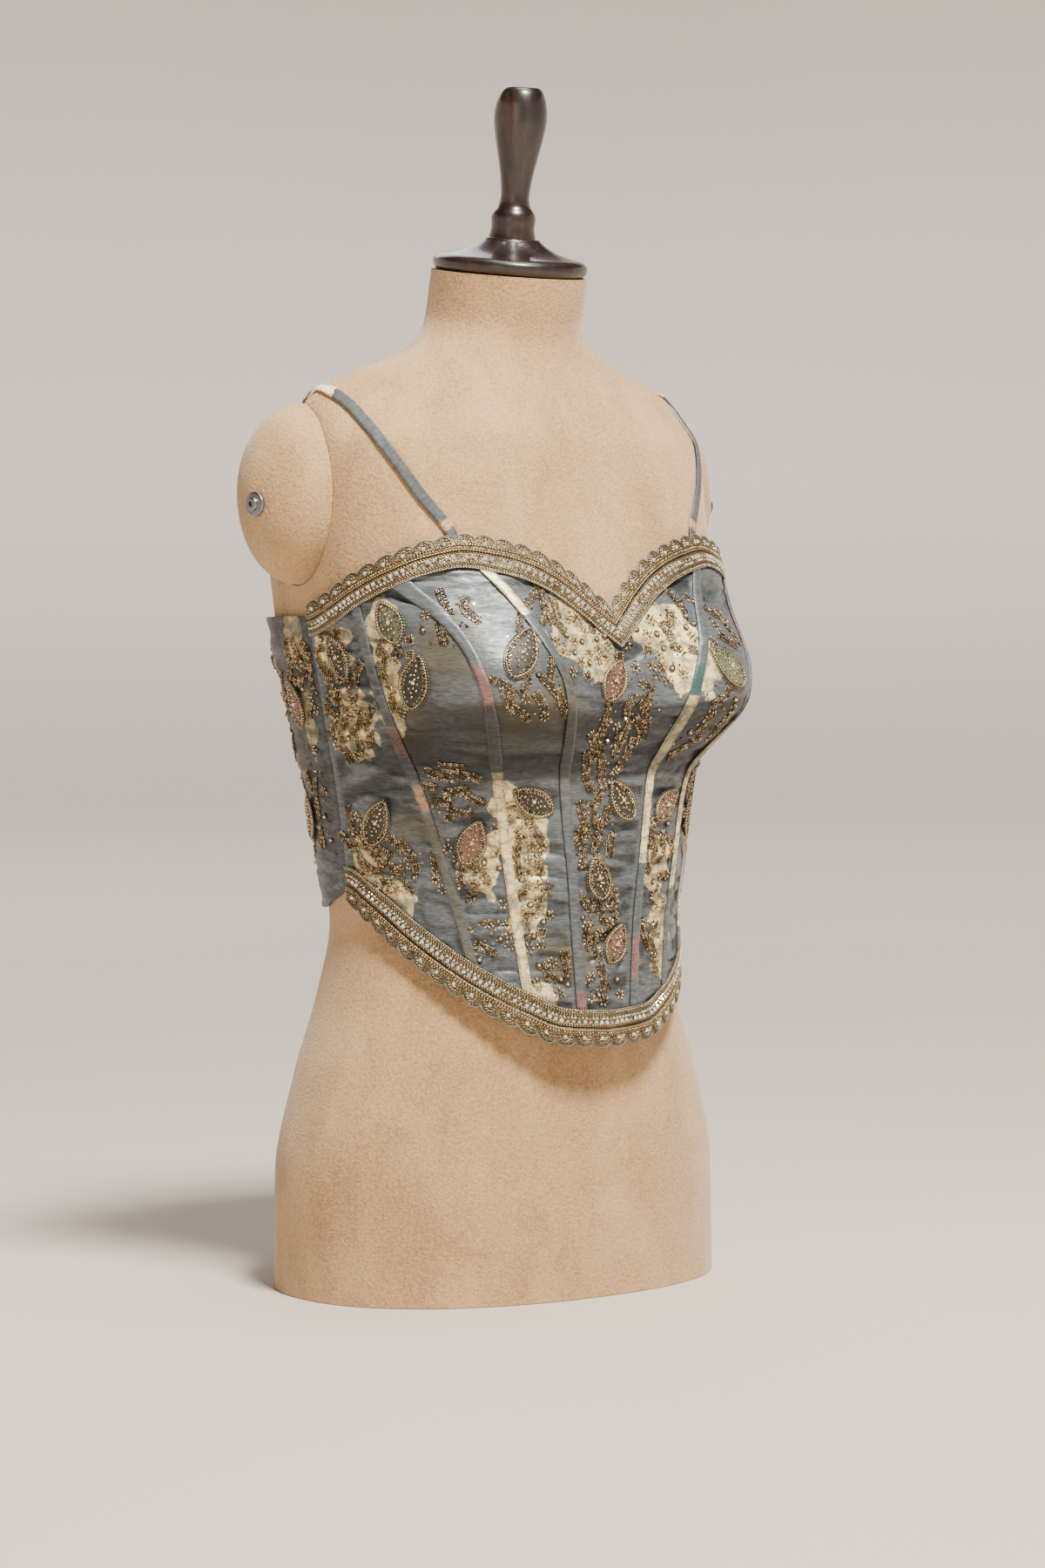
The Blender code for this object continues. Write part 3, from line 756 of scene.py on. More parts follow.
@dataclass
class BeadLot:
    """Places for one shape: points with their directions and sizes."""

    points: list[Array] = field(default_factory=list)
    along: list[Array] = field(default_factory=list)
    out: list[Array] = field(default_factory=list)
    sizes: list[Array] = field(default_factory=list)

    def put(
        self, points: Array, along: Array, out: Array, size: Triple
    ) -> None:
        """Adds places.

        Args:
            points: Where the shapes' middles go.
            along: Their own X directions.
            out: Their own Z directions.
            size: Their size along X, Y and Z.
        """
        points = np.asarray(points, float).reshape(-1, 3)
        self.points.append(points)
        self.along.append(np.broadcast_to(along, points.shape))
        self.out.append(np.broadcast_to(out, points.shape))
        self.sizes.append(np.broadcast_to(np.asarray(size, float), points.shape))

    def euler(self) -> Array:
        """XYZ turns that bring each shape's axes onto its directions.

        Returns:
            Three angles for each place.
        """
        out = unit(np.concatenate(self.out))
        along = np.concatenate(self.along)
        along = unit(along - out * np.sum(along * out, axis=1, keepdims=True))
        side = np.cross(out, along)
        pitch = -np.arcsin(np.clip(along[:, 2], -1.0, 1.0))
        roll = np.arctan2(side[:, 2], out[:, 2])
        yaw = np.arctan2(along[:, 1], along[:, 0])
        return np.stack([roll, pitch, yaw], -1)


class BeadTree:
    """A Geometry Nodes tree that sets one shape at every point of a mesh."""

    CONE = {"Vertices": 8, "Radius Top": 0.28, "Radius Bottom": 0.5, "Depth": 0.42}
    FORMS = {
        BeadShape.STONE: ("GeometryNodeMeshCone", CONE),
        BeadShape.BEAD: ("GeometryNodeMeshIcoSphere", {"Radius": 0.5, "Subdivisions": 1}),
        BeadShape.SEQUIN: ("GeometryNodeMeshCylinder", {"Vertices": 8, "Radius": 0.5, "Depth": 1.0}),
        BeadShape.STITCH: ("GeometryNodeMeshCylinder", {"Vertices": 5, "Radius": 0.5, "Depth": 1.0}),
    }

    def __init__(self, shape: BeadShape) -> None:
        """Builds the tree.

        Args:
            shape: What it sets.
        """
        self.shape = shape
        self.group = bpy.data.node_groups.new(f"sew_{shape.value}", "GeometryNodeTree")
        face = self.group.interface
        face.new_socket(name="Places", in_out="INPUT", socket_type="NodeSocketGeometry")
        scale = face.new_socket(name="Scale", in_out="INPUT", socket_type="NodeSocketFloat")
        finish = face.new_socket(name="Finish", in_out="INPUT", socket_type="NodeSocketMaterial")
        face.new_socket(name="Sewn", in_out="OUTPUT", socket_type="NodeSocketGeometry")
        self.scale_socket, self.finish_socket = scale.identifier, finish.identifier
        entry = add_node(self.group, "NodeGroupInput")
        turn = add_node(self.group, "FunctionNodeEulerToRotation", {"Euler": self.named("turn")})
        sizes = {0: self.named("size"), "Scale": entry.outputs["Scale"]}
        grow = add_node(self.group, "ShaderNodeVectorMath", sizes, operation="SCALE")
        set_out = {
            "Points": entry.outputs["Places"],
            "Instance": self.form(),
            "Rotation": turn.outputs["Rotation"],
            "Scale": grow.outputs["Vector"],
        }
        put = add_node(self.group, "GeometryNodeInstanceOnPoints", set_out)
        real = add_node(self.group, "GeometryNodeRealizeInstances", {"Geometry": put.outputs["Instances"]})
        dressed = {"Geometry": real.outputs["Geometry"], "Material": entry.outputs["Finish"]}
        dress = add_node(self.group, "GeometryNodeSetMaterial", dressed)
        add_node(self.group, "NodeGroupOutput", {"Sewn": dress.outputs["Geometry"]})

    def named(self, name: str) -> Socket:
        """The socket that reads a vector attribute.

        Args:
            name: The attribute.

        Returns:
            The socket.
        """
        inputs = {"Name": name}
        kind = "GeometryNodeInputNamedAttribute"
        return add_node(self.group, kind, inputs, data_type="FLOAT_VECTOR").outputs["Attribute"]

    def form(self) -> Socket:
        """The socket of the shape itself, one unit across.

        Returns:
            The socket.
        """
        if self.shape is BeadShape.LOOP:
            circle = "GeometryNodeCurvePrimitiveCircle"
            ring = add_node(self.group, circle, {"Resolution": 8, "Radius": 0.38})
            thread = add_node(self.group, circle, {"Resolution": 3, "Radius": 0.12})
            curves = {"Curve": ring.outputs["Curve"], "Profile Curve": thread.outputs["Curve"]}
            return add_node(self.group, "GeometryNodeCurveToMesh", curves).outputs["Mesh"]
        kind, sizes = self.FORMS[self.shape]
        return add_node(self.group, kind, sizes).outputs["Mesh"]

    def sew(self, lot: BeadLot, scale: float, finish: Finish) -> bpy.types.Mesh:
        """Runs the tree over a lot of places.

        Args:
            lot: The places.
            scale: A share by which every size is multiplied.
            finish: The shapes' material.

        Returns:
            The plain mesh of all of them.
        """
        points = np.concatenate(lot.points)
        mesh = bpy.data.meshes.new("places")
        mesh.vertices.add(len(points))
        mesh.vertices.foreach_set("co", points.astype(np.float32).ravel())
        for name, values in (("turn", lot.euler()), ("size", np.concatenate(lot.sizes))):
            attribute = mesh.attributes.new(name, "FLOAT_VECTOR", "POINT")
            attribute.data.foreach_set("vector", values.astype(np.float32).ravel())
        carrier = fresh_object("places", mesh)
        modifier = carrier.modifiers.new("Sew", "NODES")
        modifier.node_group = self.group
        modifier[self.scale_socket] = scale
        modifier[self.finish_socket] = finish
        graph = bpy.context.evaluated_depsgraph_get()
        made = bpy.data.meshes.new_from_object(carrier.evaluated_get(graph))
        bpy.data.objects.remove(carrier)
        return made


class SewingBox:
    """The bead trees, each built once."""

    def __init__(self) -> None:
        """Starts with none."""
        self.trees: dict[BeadShape, BeadTree] = {}

    def sew(
        self,
        piece: PieceMesh,
        shape: BeadShape,
        lot: BeadLot,
        finish: Finish,
        smooth: bool = False,
        scale: float = 1.0,
    ) -> None:
        """Sews a lot of one shape onto a piece.

        Args:
            piece: What it goes on.
            shape: The shape.
            lot: Its places.
            finish: Its material.
            smooth: Whether it is shaded smooth.
            scale: A share by which every size is multiplied.
        """
        if not lot.points:
            return
        if shape not in self.trees:
            self.trees[shape] = BeadTree(shape)
        mesh = self.trees[shape].sew(lot, scale, finish)
        piece.add_mesh(mesh, finish, smooth)
        bpy.data.meshes.remove(mesh)


class Paint:
    """A Principled material and short ways to build its nodes."""

    def __init__(self, name: str, shader: dict[str, float]) -> None:
        """Makes the material.

        Args:
            name: The material's name.
            shader: Constant values by the shader socket's name.
        """
        self.material = bpy.data.materials.new(name)
        self.material.use_nodes = True
        self.link = self.material.node_tree.links.new
        self.shader = self.material.node_tree.nodes["Principled BSDF"]
        for socket, value in shader.items():
            self.shader.inputs[socket].default_value = value

    def node(
        self, kind: str, inputs: dict[str | int, object] | None = None, **options: str
    ) -> bpy.types.Node:
        """A new node of the material, as add_node takes it."""
        return add_node(self.material.node_tree, kind, inputs, **options)

    def place(self, space: str, scale: Triple = (1.0, 1.0, 1.0)) -> Socket:
        """Coordinates of the piece, Object or UV, multiplied by a scale for each axis."""
        source = self.node("ShaderNodeTexCoord").outputs[space]
        return self.node("ShaderNodeMapping", {"Vector": source, "Scale": scale}).outputs["Vector"]

    def noise(self, place: Socket, scale: float, detail: float = 3.0, wobble: float = 0.0) -> Socket:
        """A noise value from 0 to 1."""
        inputs = {"Vector": place, "Scale": scale, "Detail": detail, "Distortion": wobble}
        return self.node("ShaderNodeTexNoise", inputs).outputs["Fac"]

    def cells(self, place: Socket, scale: float, feature: str = "F1") -> bpy.types.Node:
        """A Voronoi texture node."""
        return self.node("ShaderNodeTexVoronoi", {"Vector": place, "Scale": scale}, feature=feature)

    def ramp(self, value: Socket, stops: Sequence[tuple[float, Colour | float]]) -> Socket:
        """A colour read from a value through stops.

        Args:
            value: The value.
            stops: A place from 0 to 1 and its colour or grey level, in order.

        Returns:
            The colour.
        """
        node = self.node("ShaderNodeValToRGB", {"Fac": value})
        elements = node.color_ramp.elements
        while len(elements) < len(stops):
            elements.new(0.5)
        for element, (position, colour) in zip(elements, stops):
            element.position = position
            element.color = (*(colour if isinstance(colour, tuple) else grey(colour)), 1.0)
        return node.outputs["Color"]

    def step(self, value: Socket, low: float, high: float) -> Socket:
        """A soft step from 0 to 1 as a value goes from low to high."""
        inputs = {"Value": value, "From Min": low, "From Max": high}
        return self.node("ShaderNodeMapRange", inputs, interpolation_type="SMOOTHSTEP").outputs["Result"]

    def blend(
        self, share: Socket | float, low: Socket | Colour, high: Socket | Colour, how: str = "MIX"
    ) -> Socket:
        """Mixes two colours.

        Args:
            share: How much of the second is taken.
            low: The first colour.
            high: The second colour.
            how: The Mix node's way of mixing.

        Returns:
            The mixed colour.
        """
        first, second = ((*colour, 1.0) if isinstance(colour, tuple) else colour for colour in (low, high))
        inputs = {"Factor": share, 6: first, 7: second}
        return self.node("ShaderNodeMix", inputs, data_type="RGBA", blend_type=how).outputs[2]

    def sum(self, how: str, first: Socket, second: Socket | float) -> Socket:
        """Two values put together by a Math node."""
        return self.node("ShaderNodeMath", {0: first, 1: second}, operation=how).outputs["Value"]

    def tint(self, name: str) -> Socket:
        """A value that the piece carries at its points."""
        return self.node("ShaderNodeAttribute", attribute_name=name).outputs["Fac"]

    def bump(self, height: Socket, distance: float, under: Socket | None = None) -> Socket:
        """Adds a relief of a real depth.

        Args:
            height: The relief, from 0 to 1.
            distance: Its depth in metres.
            under: A coarser relief that it lies on.

        Returns:
            The relief, for a finer one to lie on.
        """
        inputs = {"Height": height, "Distance": distance}
        if under is not None:
            inputs["Normal"] = under
        normal = self.node("ShaderNodeBump", inputs).outputs["Normal"]
        self.link(normal, self.shader.inputs["Normal"])
        return normal

    def colour(self, socket: Socket) -> None:
        """Sets the base colour."""
        self.link(socket, self.shader.inputs["Base Color"])

    def rough(self, socket: Socket) -> None:
        """Sets the roughness."""
        self.link(socket, self.shader.inputs["Roughness"])


@dataclass(frozen=True)
class CrushedSilk:
    """Shot tissue silk: slate with a gold shimmer, crushed across, with printed petal patches, and painted
    shade and painted highlight in its colour.
    """

    name: str
    # The three grounds are the painted shade in the crush's troughs, the plain slate and the painted
    # highlight on its crests.
    crush_shade: Colour = (0.080, 0.092, 0.099)
    ground: Colour = (0.110, 0.125, 0.132)
    crush_highlight: Colour = (0.152, 0.171, 0.179)
    olive: Colour = (0.115, 0.105, 0.068)
    cream: Colour = (0.900, 0.740, 0.390)
    pale: Colour = (0.700, 0.630, 0.380)
    mist: Colour = (0.300, 0.320, 0.260)
    outline: Colour = (0.300, 0.190, 0.080)
    pink: Colour = (0.270, 0.120, 0.110)
    teal: Colour = (0.020, 0.120, 0.105)
    peach: Colour = (0.520, 0.270, 0.160)
    metallic: float = 0.48
    sheen: float = 0.10
    roughness: tuple[float, float] = (0.54, 0.40)
    petals_per_metre: float = 125.0
    swirls_per_metre: float = 130.0

    def make(self) -> Finish:
        """Builds the material.

        Returns:
            The finished material.
        """
        paint = Paint(
            self.name,
            {"Metallic": self.metallic, "Sheen Weight": self.sheen, "Sheen Roughness": 0.35},
        )
        cloth = paint.place("UV")
        crush = paint.noise(paint.place("UV", (150.0, 430.0, 1.0)), 1.0, 4.0, 0.4)
        thread = paint.noise(paint.place("UV", (130.0, 1500.0, 1.0)), 1.0, 2.0)
        cloud = paint.noise(paint.place("Object"), 17.0, 3.0)
        # Painted shade and painted highlight: the ground is darker in the crush's troughs and lighter on its
        # crests, read from the same noise that bumps it.
        ground = paint.ramp(
            crush, [(0.30, self.crush_shade), (0.50, self.ground), (0.74, self.crush_highlight)]
        )
        gold = paint.sum("ADD", paint.tint("olive"), paint.step(cloud, 0.52, 0.78))
        ground = paint.blend(paint.step(gold, 0.05, 1.3), ground, self.olive)
        petal_place = paint.blend(0.008, cloth, self.swirl(paint), "ADD")
        petals = paint.cells(petal_place, self.petals_per_metre)
        rims = paint.cells(petal_place, self.petals_per_metre, "DISTANCE_TO_EDGE")
        cell = paint.node("ShaderNodeSeparateColor", {"Color": petals.outputs["Color"]})
        petal = paint.ramp(
            cell.outputs["Red"],
            [(0.0, self.mist), (0.16, self.pale), (0.40, self.cream), (0.80, self.cream), (1.0, self.pale)],
        )
        soft = paint.sum("MULTIPLY", paint.step(petals.outputs["Distance"], 0.30, 0.85), 0.5)
        petal = paint.blend(soft, petal, self.mist)
        rim = paint.sum("MULTIPLY", paint.step(rims.outputs["Distance"], 0.09, 0.01), 0.55)
        petal = paint.blend(rim, petal, self.outline)
        edge = paint.noise(cloth, 150.0, 2.0)
        reach = paint.sum("ADD", paint.tint("cream"), paint.sum("MULTIPLY", edge, 0.5))
        printed = paint.step(reach, 0.70, 0.78)
        hue = paint.blend(printed, ground, petal)
        for name, colour in (("pink", self.pink), ("teal", self.teal), ("peach", self.peach)):
            hue = paint.blend(paint.tint(name), hue, colour)
        shade = paint.ramp(thread, [(0.3, 0.66), (0.7, 1.32)])
        # Painted shade and painted highlight: the colour is lightened where this tint is low, on the folds'
        # crests, and darkened where it is high, in the folds' troughs, where the cloth faces down and over
        # the back panels.
        hollow = paint.ramp(
            paint.tint("hollow"),
            [(0.0, 1.30), (0.24, 1.02), (0.60, 0.44), (1.0, 0.22)],
        )
        hue = paint.blend(1.0, hue, hollow, "MULTIPLY")
        paint.colour(paint.blend(1.0, hue, shade, "MULTIPLY"))
        dull, glossy = self.roughness
        paint.rough(paint.ramp(crush, [(0.3, dull), (0.7, glossy)]))
        low = paint.bump(crush, 0.0003)
        paint.bump(thread, 0.00012, low)
        return paint.material

    def swirl(self, paint: Paint) -> Socket:
        """A slow swirl that bends the petals' rims."""
        inputs = {"Vector": paint.place("UV"), "Scale": self.swirls_per_metre}
        return paint.node("ShaderNodeTexNoise", inputs).outputs["Color"]


@dataclass(frozen=True)
class TwistedCord:
    """Metal thread laid as a twisted cord, on UVs that run along and round it."""

    name: str
    bright: Colour
    dark: Colour
    turns_per_metre: float = 620.0

    def make(self) -> Finish:
        """Builds the material.

        Returns:
            The finished material.
        """
        paint = Paint(self.name, {"Metallic": 0.85, "Roughness": 0.34})
        inputs = {"Vector": paint.place("UV", (self.turns_per_metre, 1.0, 1.0)), "Scale": 0.5}
        node = paint.node("ShaderNodeTexWave", inputs, bands_direction="DIAGONAL")
        cloud = paint.noise(paint.place("Object"), 160.0, 2.0)
        tarnish = paint.sum("MULTIPLY", node.outputs["Fac"], cloud)
        paint.colour(paint.ramp(tarnish, [(0.10, self.dark), (0.42, self.bright)]))
        paint.bump(node.outputs["Fac"], 0.00025)
        return paint.material


@dataclass(frozen=True)
class ShinyBead:
    """Beads, stones and sequins: small bright things with a little tarnish."""

    name: str
    bright: Colour
    dark: Colour
    roughness: float = 0.22
    metallic: float = 0.9

    def make(self) -> Finish:
        """Builds the material.

        Returns:
            The finished material.
        """
        paint = Paint(self.name, {"Metallic": self.metallic, "Roughness": self.roughness})
        cloud = paint.noise(paint.place("Object"), 420.0, 2.0)
        paint.colour(paint.ramp(cloud, [(0.36, self.dark), (0.60, self.bright)]))
        return paint.material


@dataclass(frozen=True)
class TissueTape:
    """The woven ground of the trims: a fine net of metal thread."""

    name: str
    bright: Colour
    dark: Colour

    def make(self) -> Finish:
        """Builds the material.

        Returns:
            The finished material.
        """
        paint = Paint(self.name, {"Metallic": 0.6, "Roughness": 0.42})
        net = paint.cells(paint.place("UV", (900.0, 900.0, 1.0)), 1.0)
        cloud = paint.noise(paint.place("Object"), 90.0, 3.0)
        mixed = paint.sum("MULTIPLY", net.outputs["Distance"], cloud)
        paint.colour(paint.ramp(mixed, [(0.12, self.dark), (0.42, self.bright)]))
        paint.bump(net.outputs["Distance"], 0.0003)
        return paint.material


@dataclass(frozen=True)
class PlainCloth:
    """A plain woven cloth or thread of one colour with a fine grain."""

    name: str
    light: Colour
    dark: Colour
    grain: float = 900.0
    roughness: float = 0.55
    metallic: float = 0.15
    relief: float = 0.0001

    def make(self) -> Finish:
        """Builds the material.

        Returns:
            The finished material.
        """
        sheen = {"Sheen Weight": 0.3, "Sheen Roughness": 0.4}
        paint = Paint(self.name, {"Metallic": self.metallic, "Roughness": self.roughness, **sheen})
        grain = paint.noise(paint.place("Object"), self.grain, 3.0)
        cloud = paint.noise(paint.place("Object"), 60.0, 3.0)
        mixed = paint.sum("MULTIPLY", paint.sum("ADD", grain, cloud), 0.5)
        paint.colour(paint.ramp(mixed, [(0.38, self.dark), (0.62, self.light)]))
        paint.bump(grain, self.relief)
        return paint.material


@dataclass(frozen=True)
class Velour:
    """The dress form's cover: a short beige nap, a little mottled where it was brushed."""

    name: str = "form_velour"
    light: Colour = (0.560, 0.365, 0.185)
    middle: Colour = (0.460, 0.288, 0.138)
    dark: Colour = (0.320, 0.193, 0.088)

    def make(self) -> Finish:
        """Builds the material.

        Returns:
            The finished material.
        """
        sheen = {"Sheen Weight": 0.28, "Sheen Roughness": 0.45}
        paint = Paint(self.name, {"Roughness": 0.92, "Specular IOR Level": 0.2, **sheen})
        brushed = paint.noise(paint.place("Object", (1.0, 1.0, 0.55)), 26.0, 5.0, 0.5)
        nap = paint.noise(paint.place("Object"), 1100.0, 2.0)
        mottle = paint.noise(paint.place("Object"), 430.0, 3.0)
        mixed = paint.sum("MULTIPLY", paint.sum("ADD", brushed, paint.sum("ADD", nap, mottle)), 1 / 3)
        paint.colour(
            paint.ramp(mixed, [(0.38, self.dark), (0.50, self.middle), (0.62, self.light)])
        )
        low = paint.bump(mottle, 0.0009)
        paint.bump(nap, 0.0004, low)
        return paint.material


@dataclass(frozen=True)
class LacqueredWood:
    """Turned hardwood, stained nearly black with the grain showing red-brown, under gloss."""

    name: str = "form_wood"
    dark: Colour = (0.0065, 0.0035, 0.0030)
    brown: Colour = (0.0180, 0.0075, 0.0055)
    red: Colour = (0.0420, 0.0155, 0.0100)

    def make(self) -> Finish:
        """Builds the material.

        Returns:
            The finished material.
        """
        coat = {"Coat Weight": 0.45, "Coat Roughness": 0.09}
        paint = Paint(self.name, {"Roughness": 0.34, "Specular IOR Level": 0.5, **coat})
        grain = paint.noise(paint.place("Object", (150.0, 150.0, 9.0)), 1.0, 5.0, 0.8)
        pores = paint.noise(paint.place("Object", (900.0, 900.0, 40.0)), 1.0, 2.0)
        hue = paint.ramp(grain, [(0.38, self.dark), (0.56, self.brown), (0.74, self.red)])
        paint.colour(paint.blend(paint.step(pores, 0.60, 0.72), hue, self.dark))
        paint.bump(pores, 0.00004)
        return paint.material


@dataclass(frozen=True)
class PlatedSteel:
    """Satin plated steel with fine scratches."""

    name: str = "stud_steel"
    light: Colour = (0.290, 0.298, 0.306)
    dark: Colour = (0.150, 0.154, 0.160)

    def make(self) -> Finish:
        """Builds the material.

        Returns:
            The finished material.
        """
        paint = Paint(self.name, {"Metallic": 1.0})
        scratch = paint.noise(paint.place("Object", (2500.0, 300.0, 2500.0)), 1.0, 3.0)
        paint.colour(paint.ramp(scratch, [(0.35, self.dark), (0.65, self.light)]))
        paint.rough(paint.ramp(scratch, [(0.3, 0.24), (0.7, 0.40)]))
        paint.bump(scratch, 0.00003)
        return paint.material


@dataclass(frozen=True)
class Wardrobe:
    """All the finishes, made once."""

    silk: Finish
    placket: Finish
    tissue: Finish
    gold: Finish
    dull_gold: Finish
    silver: Finish
    piping: Finish
    stone: Finish
    amber: Finish
    bead: Finish
    dark_bead: Finish
    sequin: Finish
    silver_bead: Finish
    thread: Finish
    antique: Finish
    stitch: Finish
    green_leaf: Finish
    pink_leaf: Finish
    net_leaf: Finish
    strap: Finish
    velour: Finish
    wood: Finish
    steel: Finish

    @classmethod
    def sewn(cls) -> "Wardrobe":
        """Makes every finish.

        Returns:
            The wardrobe.
        """
        return cls(
            silk=CrushedSilk("crushed_silk").make(),
            placket=CrushedSilk("placket_silk", cream=(0.30, 0.28, 0.19)).make(),
            tissue=TissueTape("trim_tissue", (0.230, 0.170, 0.090), (0.040, 0.028, 0.014)).make(),
            gold=TwistedCord("gold_cord", (0.800, 0.655, 0.400), (0.180, 0.125, 0.062)).make(),
            dull_gold=TwistedCord("antique_cord", (0.420, 0.320, 0.175), (0.075, 0.050, 0.024)).make(),
            silver=TwistedCord("silver_cord", (0.700, 0.640, 0.520), (0.160, 0.140, 0.105)).make(),
            piping=PlainCloth("scallop_piping", (0.190, 0.185, 0.135), (0.075, 0.078, 0.060)).make(),
            stone=ShinyBead("clear_stone", (0.97, 0.93, 0.84), (0.50, 0.42, 0.30), 0.08, 0.55).make(),
            amber=ShinyBead("gold_stone", (0.92, 0.70, 0.40), (0.25, 0.16, 0.07), 0.12).make(),
            bead=ShinyBead("gold_bead", (0.82, 0.61, 0.32), (0.20, 0.125, 0.055), 0.16, 0.85).make(),
            dark_bead=ShinyBead("bronze_bead", (0.30, 0.19, 0.09), (0.06, 0.035, 0.015), 0.18).make(),
            sequin=ShinyBead("sequin", (0.75, 0.56, 0.32), (0.34, 0.22, 0.10), 0.16, 1.0).make(),
            silver_bead=ShinyBead("silver_bead", (0.82, 0.78, 0.68), (0.42, 0.38, 0.30)).make(),
            thread=ShinyBead("gold_thread", (0.76, 0.62, 0.40), (0.055, 0.038, 0.020), 0.18, 0.9).make(),
            antique=ShinyBead("antique_thread", (0.26, 0.17, 0.085), (0.035, 0.021, 0.011), 0.24).make(),
            stitch=PlainCloth("seam_thread", (0.110, 0.118, 0.125), (0.045, 0.050, 0.055)).make(),
            green_leaf=PlainCloth("green_organza", (0.170, 0.165, 0.090), (0.035, 0.062, 0.040)).make(),
            pink_leaf=PlainCloth("pink_organza", (0.225, 0.118, 0.070), (0.075, 0.038, 0.025)).make(),
            net_leaf=PlainCloth(
                "gold_net", (0.052, 0.047, 0.032), (0.016, 0.017, 0.014), metallic=0.3
            ).make(),
            strap=CrushedSilk(
                "strap_silk",
                # The strap's painted shade, plain slate and painted highlight in its crush.
                crush_shade=(0.040, 0.045, 0.047),
                ground=(0.056, 0.063, 0.065),
                crush_highlight=(0.080, 0.089, 0.091),
                metallic=0.15,
                roughness=(0.62, 0.52),
            ).make(),
            velour=Velour().make(),
            wood=LacqueredWood().make(),
            steel=PlatedSteel().make(),
        )


@dataclass(frozen=True)
class Crease:
    """One fold: its middle, length, slope, depth (a trough is negative) and half width."""

    angle: float
    height: float
    length: float
    slope: float
    depth: float
    width: float
    bend: float = 0.0


# Folds, listed one by one. Slope is in degrees from level and rises towards growing angle.
CREASES = (
    Crease(84.0, 0.374, 0.060, -24.0, -0.0016, 0.0042, 1.5),
    Crease(80.0, 0.362, 0.052, -22.0, 0.0009, 0.0036, 1.0),
    Crease(79.0, 0.352, 0.058, -26.0, -0.0017, 0.0045, 1.0),
    Crease(84.0, 0.340, 0.044, -20.0, 0.0008, 0.0036, -1.0),
    Crease(76.0, 0.332, 0.052, -24.0, -0.0014, 0.0042, 1.5),
    Crease(86.0, 0.322, 0.040, -16.0, -0.0011, 0.0036),
    Crease(74.0, 0.312, 0.036, -28.0, -0.0010, 0.0034),
    Crease(86.0, 0.396, 0.050, -14.0, -0.0012, 0.0040, -1.0),
    Crease(76.0, 0.478, 0.036, 18.0, -0.0017, 0.0032, 1.0),
    Crease(79.0, 0.470, 0.040, 10.0, 0.0007, 0.0028),
    Crease(81.0, 0.461, 0.036, 4.0, -0.0013, 0.0032),
    Crease(62.0, 0.487, 0.030, 16.0, -0.0015, 0.0030, 2.0),
    Crease(60.0, 0.478, 0.026, 12.0, 0.0006, 0.0026),
    Crease(58.0, 0.386, 0.044, -6.0, -0.0018, 0.0048, 3.0),
    Crease(52.0, 0.376, 0.040, -4.0, -0.0014, 0.0040, 2.0),
    Crease(56.0, 0.362, 0.040, -12.0, 0.0009, 0.0036),
    Crease(52.0, 0.352, 0.042, -14.0, -0.0014, 0.0040),
    Crease(57.0, 0.340, 0.036, -18.0, -0.0012, 0.0036),
    Crease(50.0, 0.326, 0.040, -12.0, 0.0008, 0.0034),
    Crease(47.0, 0.316, 0.034, -16.0, -0.0012, 0.0034),
    Crease(50.0, 0.300, 0.034, -20.0, -0.0010, 0.0032),
    Crease(44.0, 0.282, 0.032, -14.0, -0.0010, 0.0032),
    Crease(40.0, 0.262, 0.030, -10.0, -0.0009, 0.0030),
    Crease(30.0, 0.371, 0.048, 2.0, -0.0020, 0.0052, 3.0),
    Crease(27.0, 0.356, 0.038, 4.0, 0.0010, 0.0042, -2.0),
    Crease(24.0, 0.344, 0.036, 2.0, -0.0013, 0.0040, 2.0),
    Crease(27.0, 0.328, 0.034, -4.0, 0.0008, 0.0036),
    Crease(23.0, 0.316, 0.032, 3.0, -0.0012, 0.0036, 2.0),
    Crease(25.0, 0.296, 0.030, -3.0, -0.0010, 0.0034),
    Crease(21.0, 0.274, 0.030, 5.0, -0.0010, 0.0032, -2.0),
    Crease(24.0, 0.256, 0.026, -6.0, 0.0007, 0.0030),
    Crease(19.0, 0.240, 0.028, 6.0, -0.0011, 0.0034),
    Crease(16.0, 0.222, 0.026, -8.0, -0.0010, 0.0032),
    Crease(9.0, 0.376, 0.026, -6.0, -0.0012, 0.0034),
    Crease(10.0, 0.358, 0.024, 4.0, -0.0011, 0.0032),
    Crease(9.0, 0.338, 0.026, -3.0, 0.0007, 0.0030),
    Crease(8.0, 0.322, 0.026, 5.0, -0.0012, 0.0032),
    Crease(8.0, 0.300, 0.024, -5.0, -0.0010, 0.0030),
    Crease(7.0, 0.278, 0.024, 4.0, -0.0009, 0.0028),
    Crease(6.0, 0.252, 0.026, 8.0, -0.0012, 0.0036),
    Crease(5.0, 0.232, 0.024, -10.0, 0.0008, 0.0034),
    Crease(6.0, 0.214, 0.026, 6.0, -0.0012, 0.0036),
    Crease(2.0, 0.404, 0.026, 3.0, -0.0010, 0.0034),
    Crease(0.0, 0.388, 0.034, -2.0, -0.0012, 0.0036),
    Crease(30.0, 0.492, 0.034, -14.0, -0.0008, 0.0040),
    Crease(40.0, 0.480, 0.034, 12.0, -0.0009, 0.0040),
)
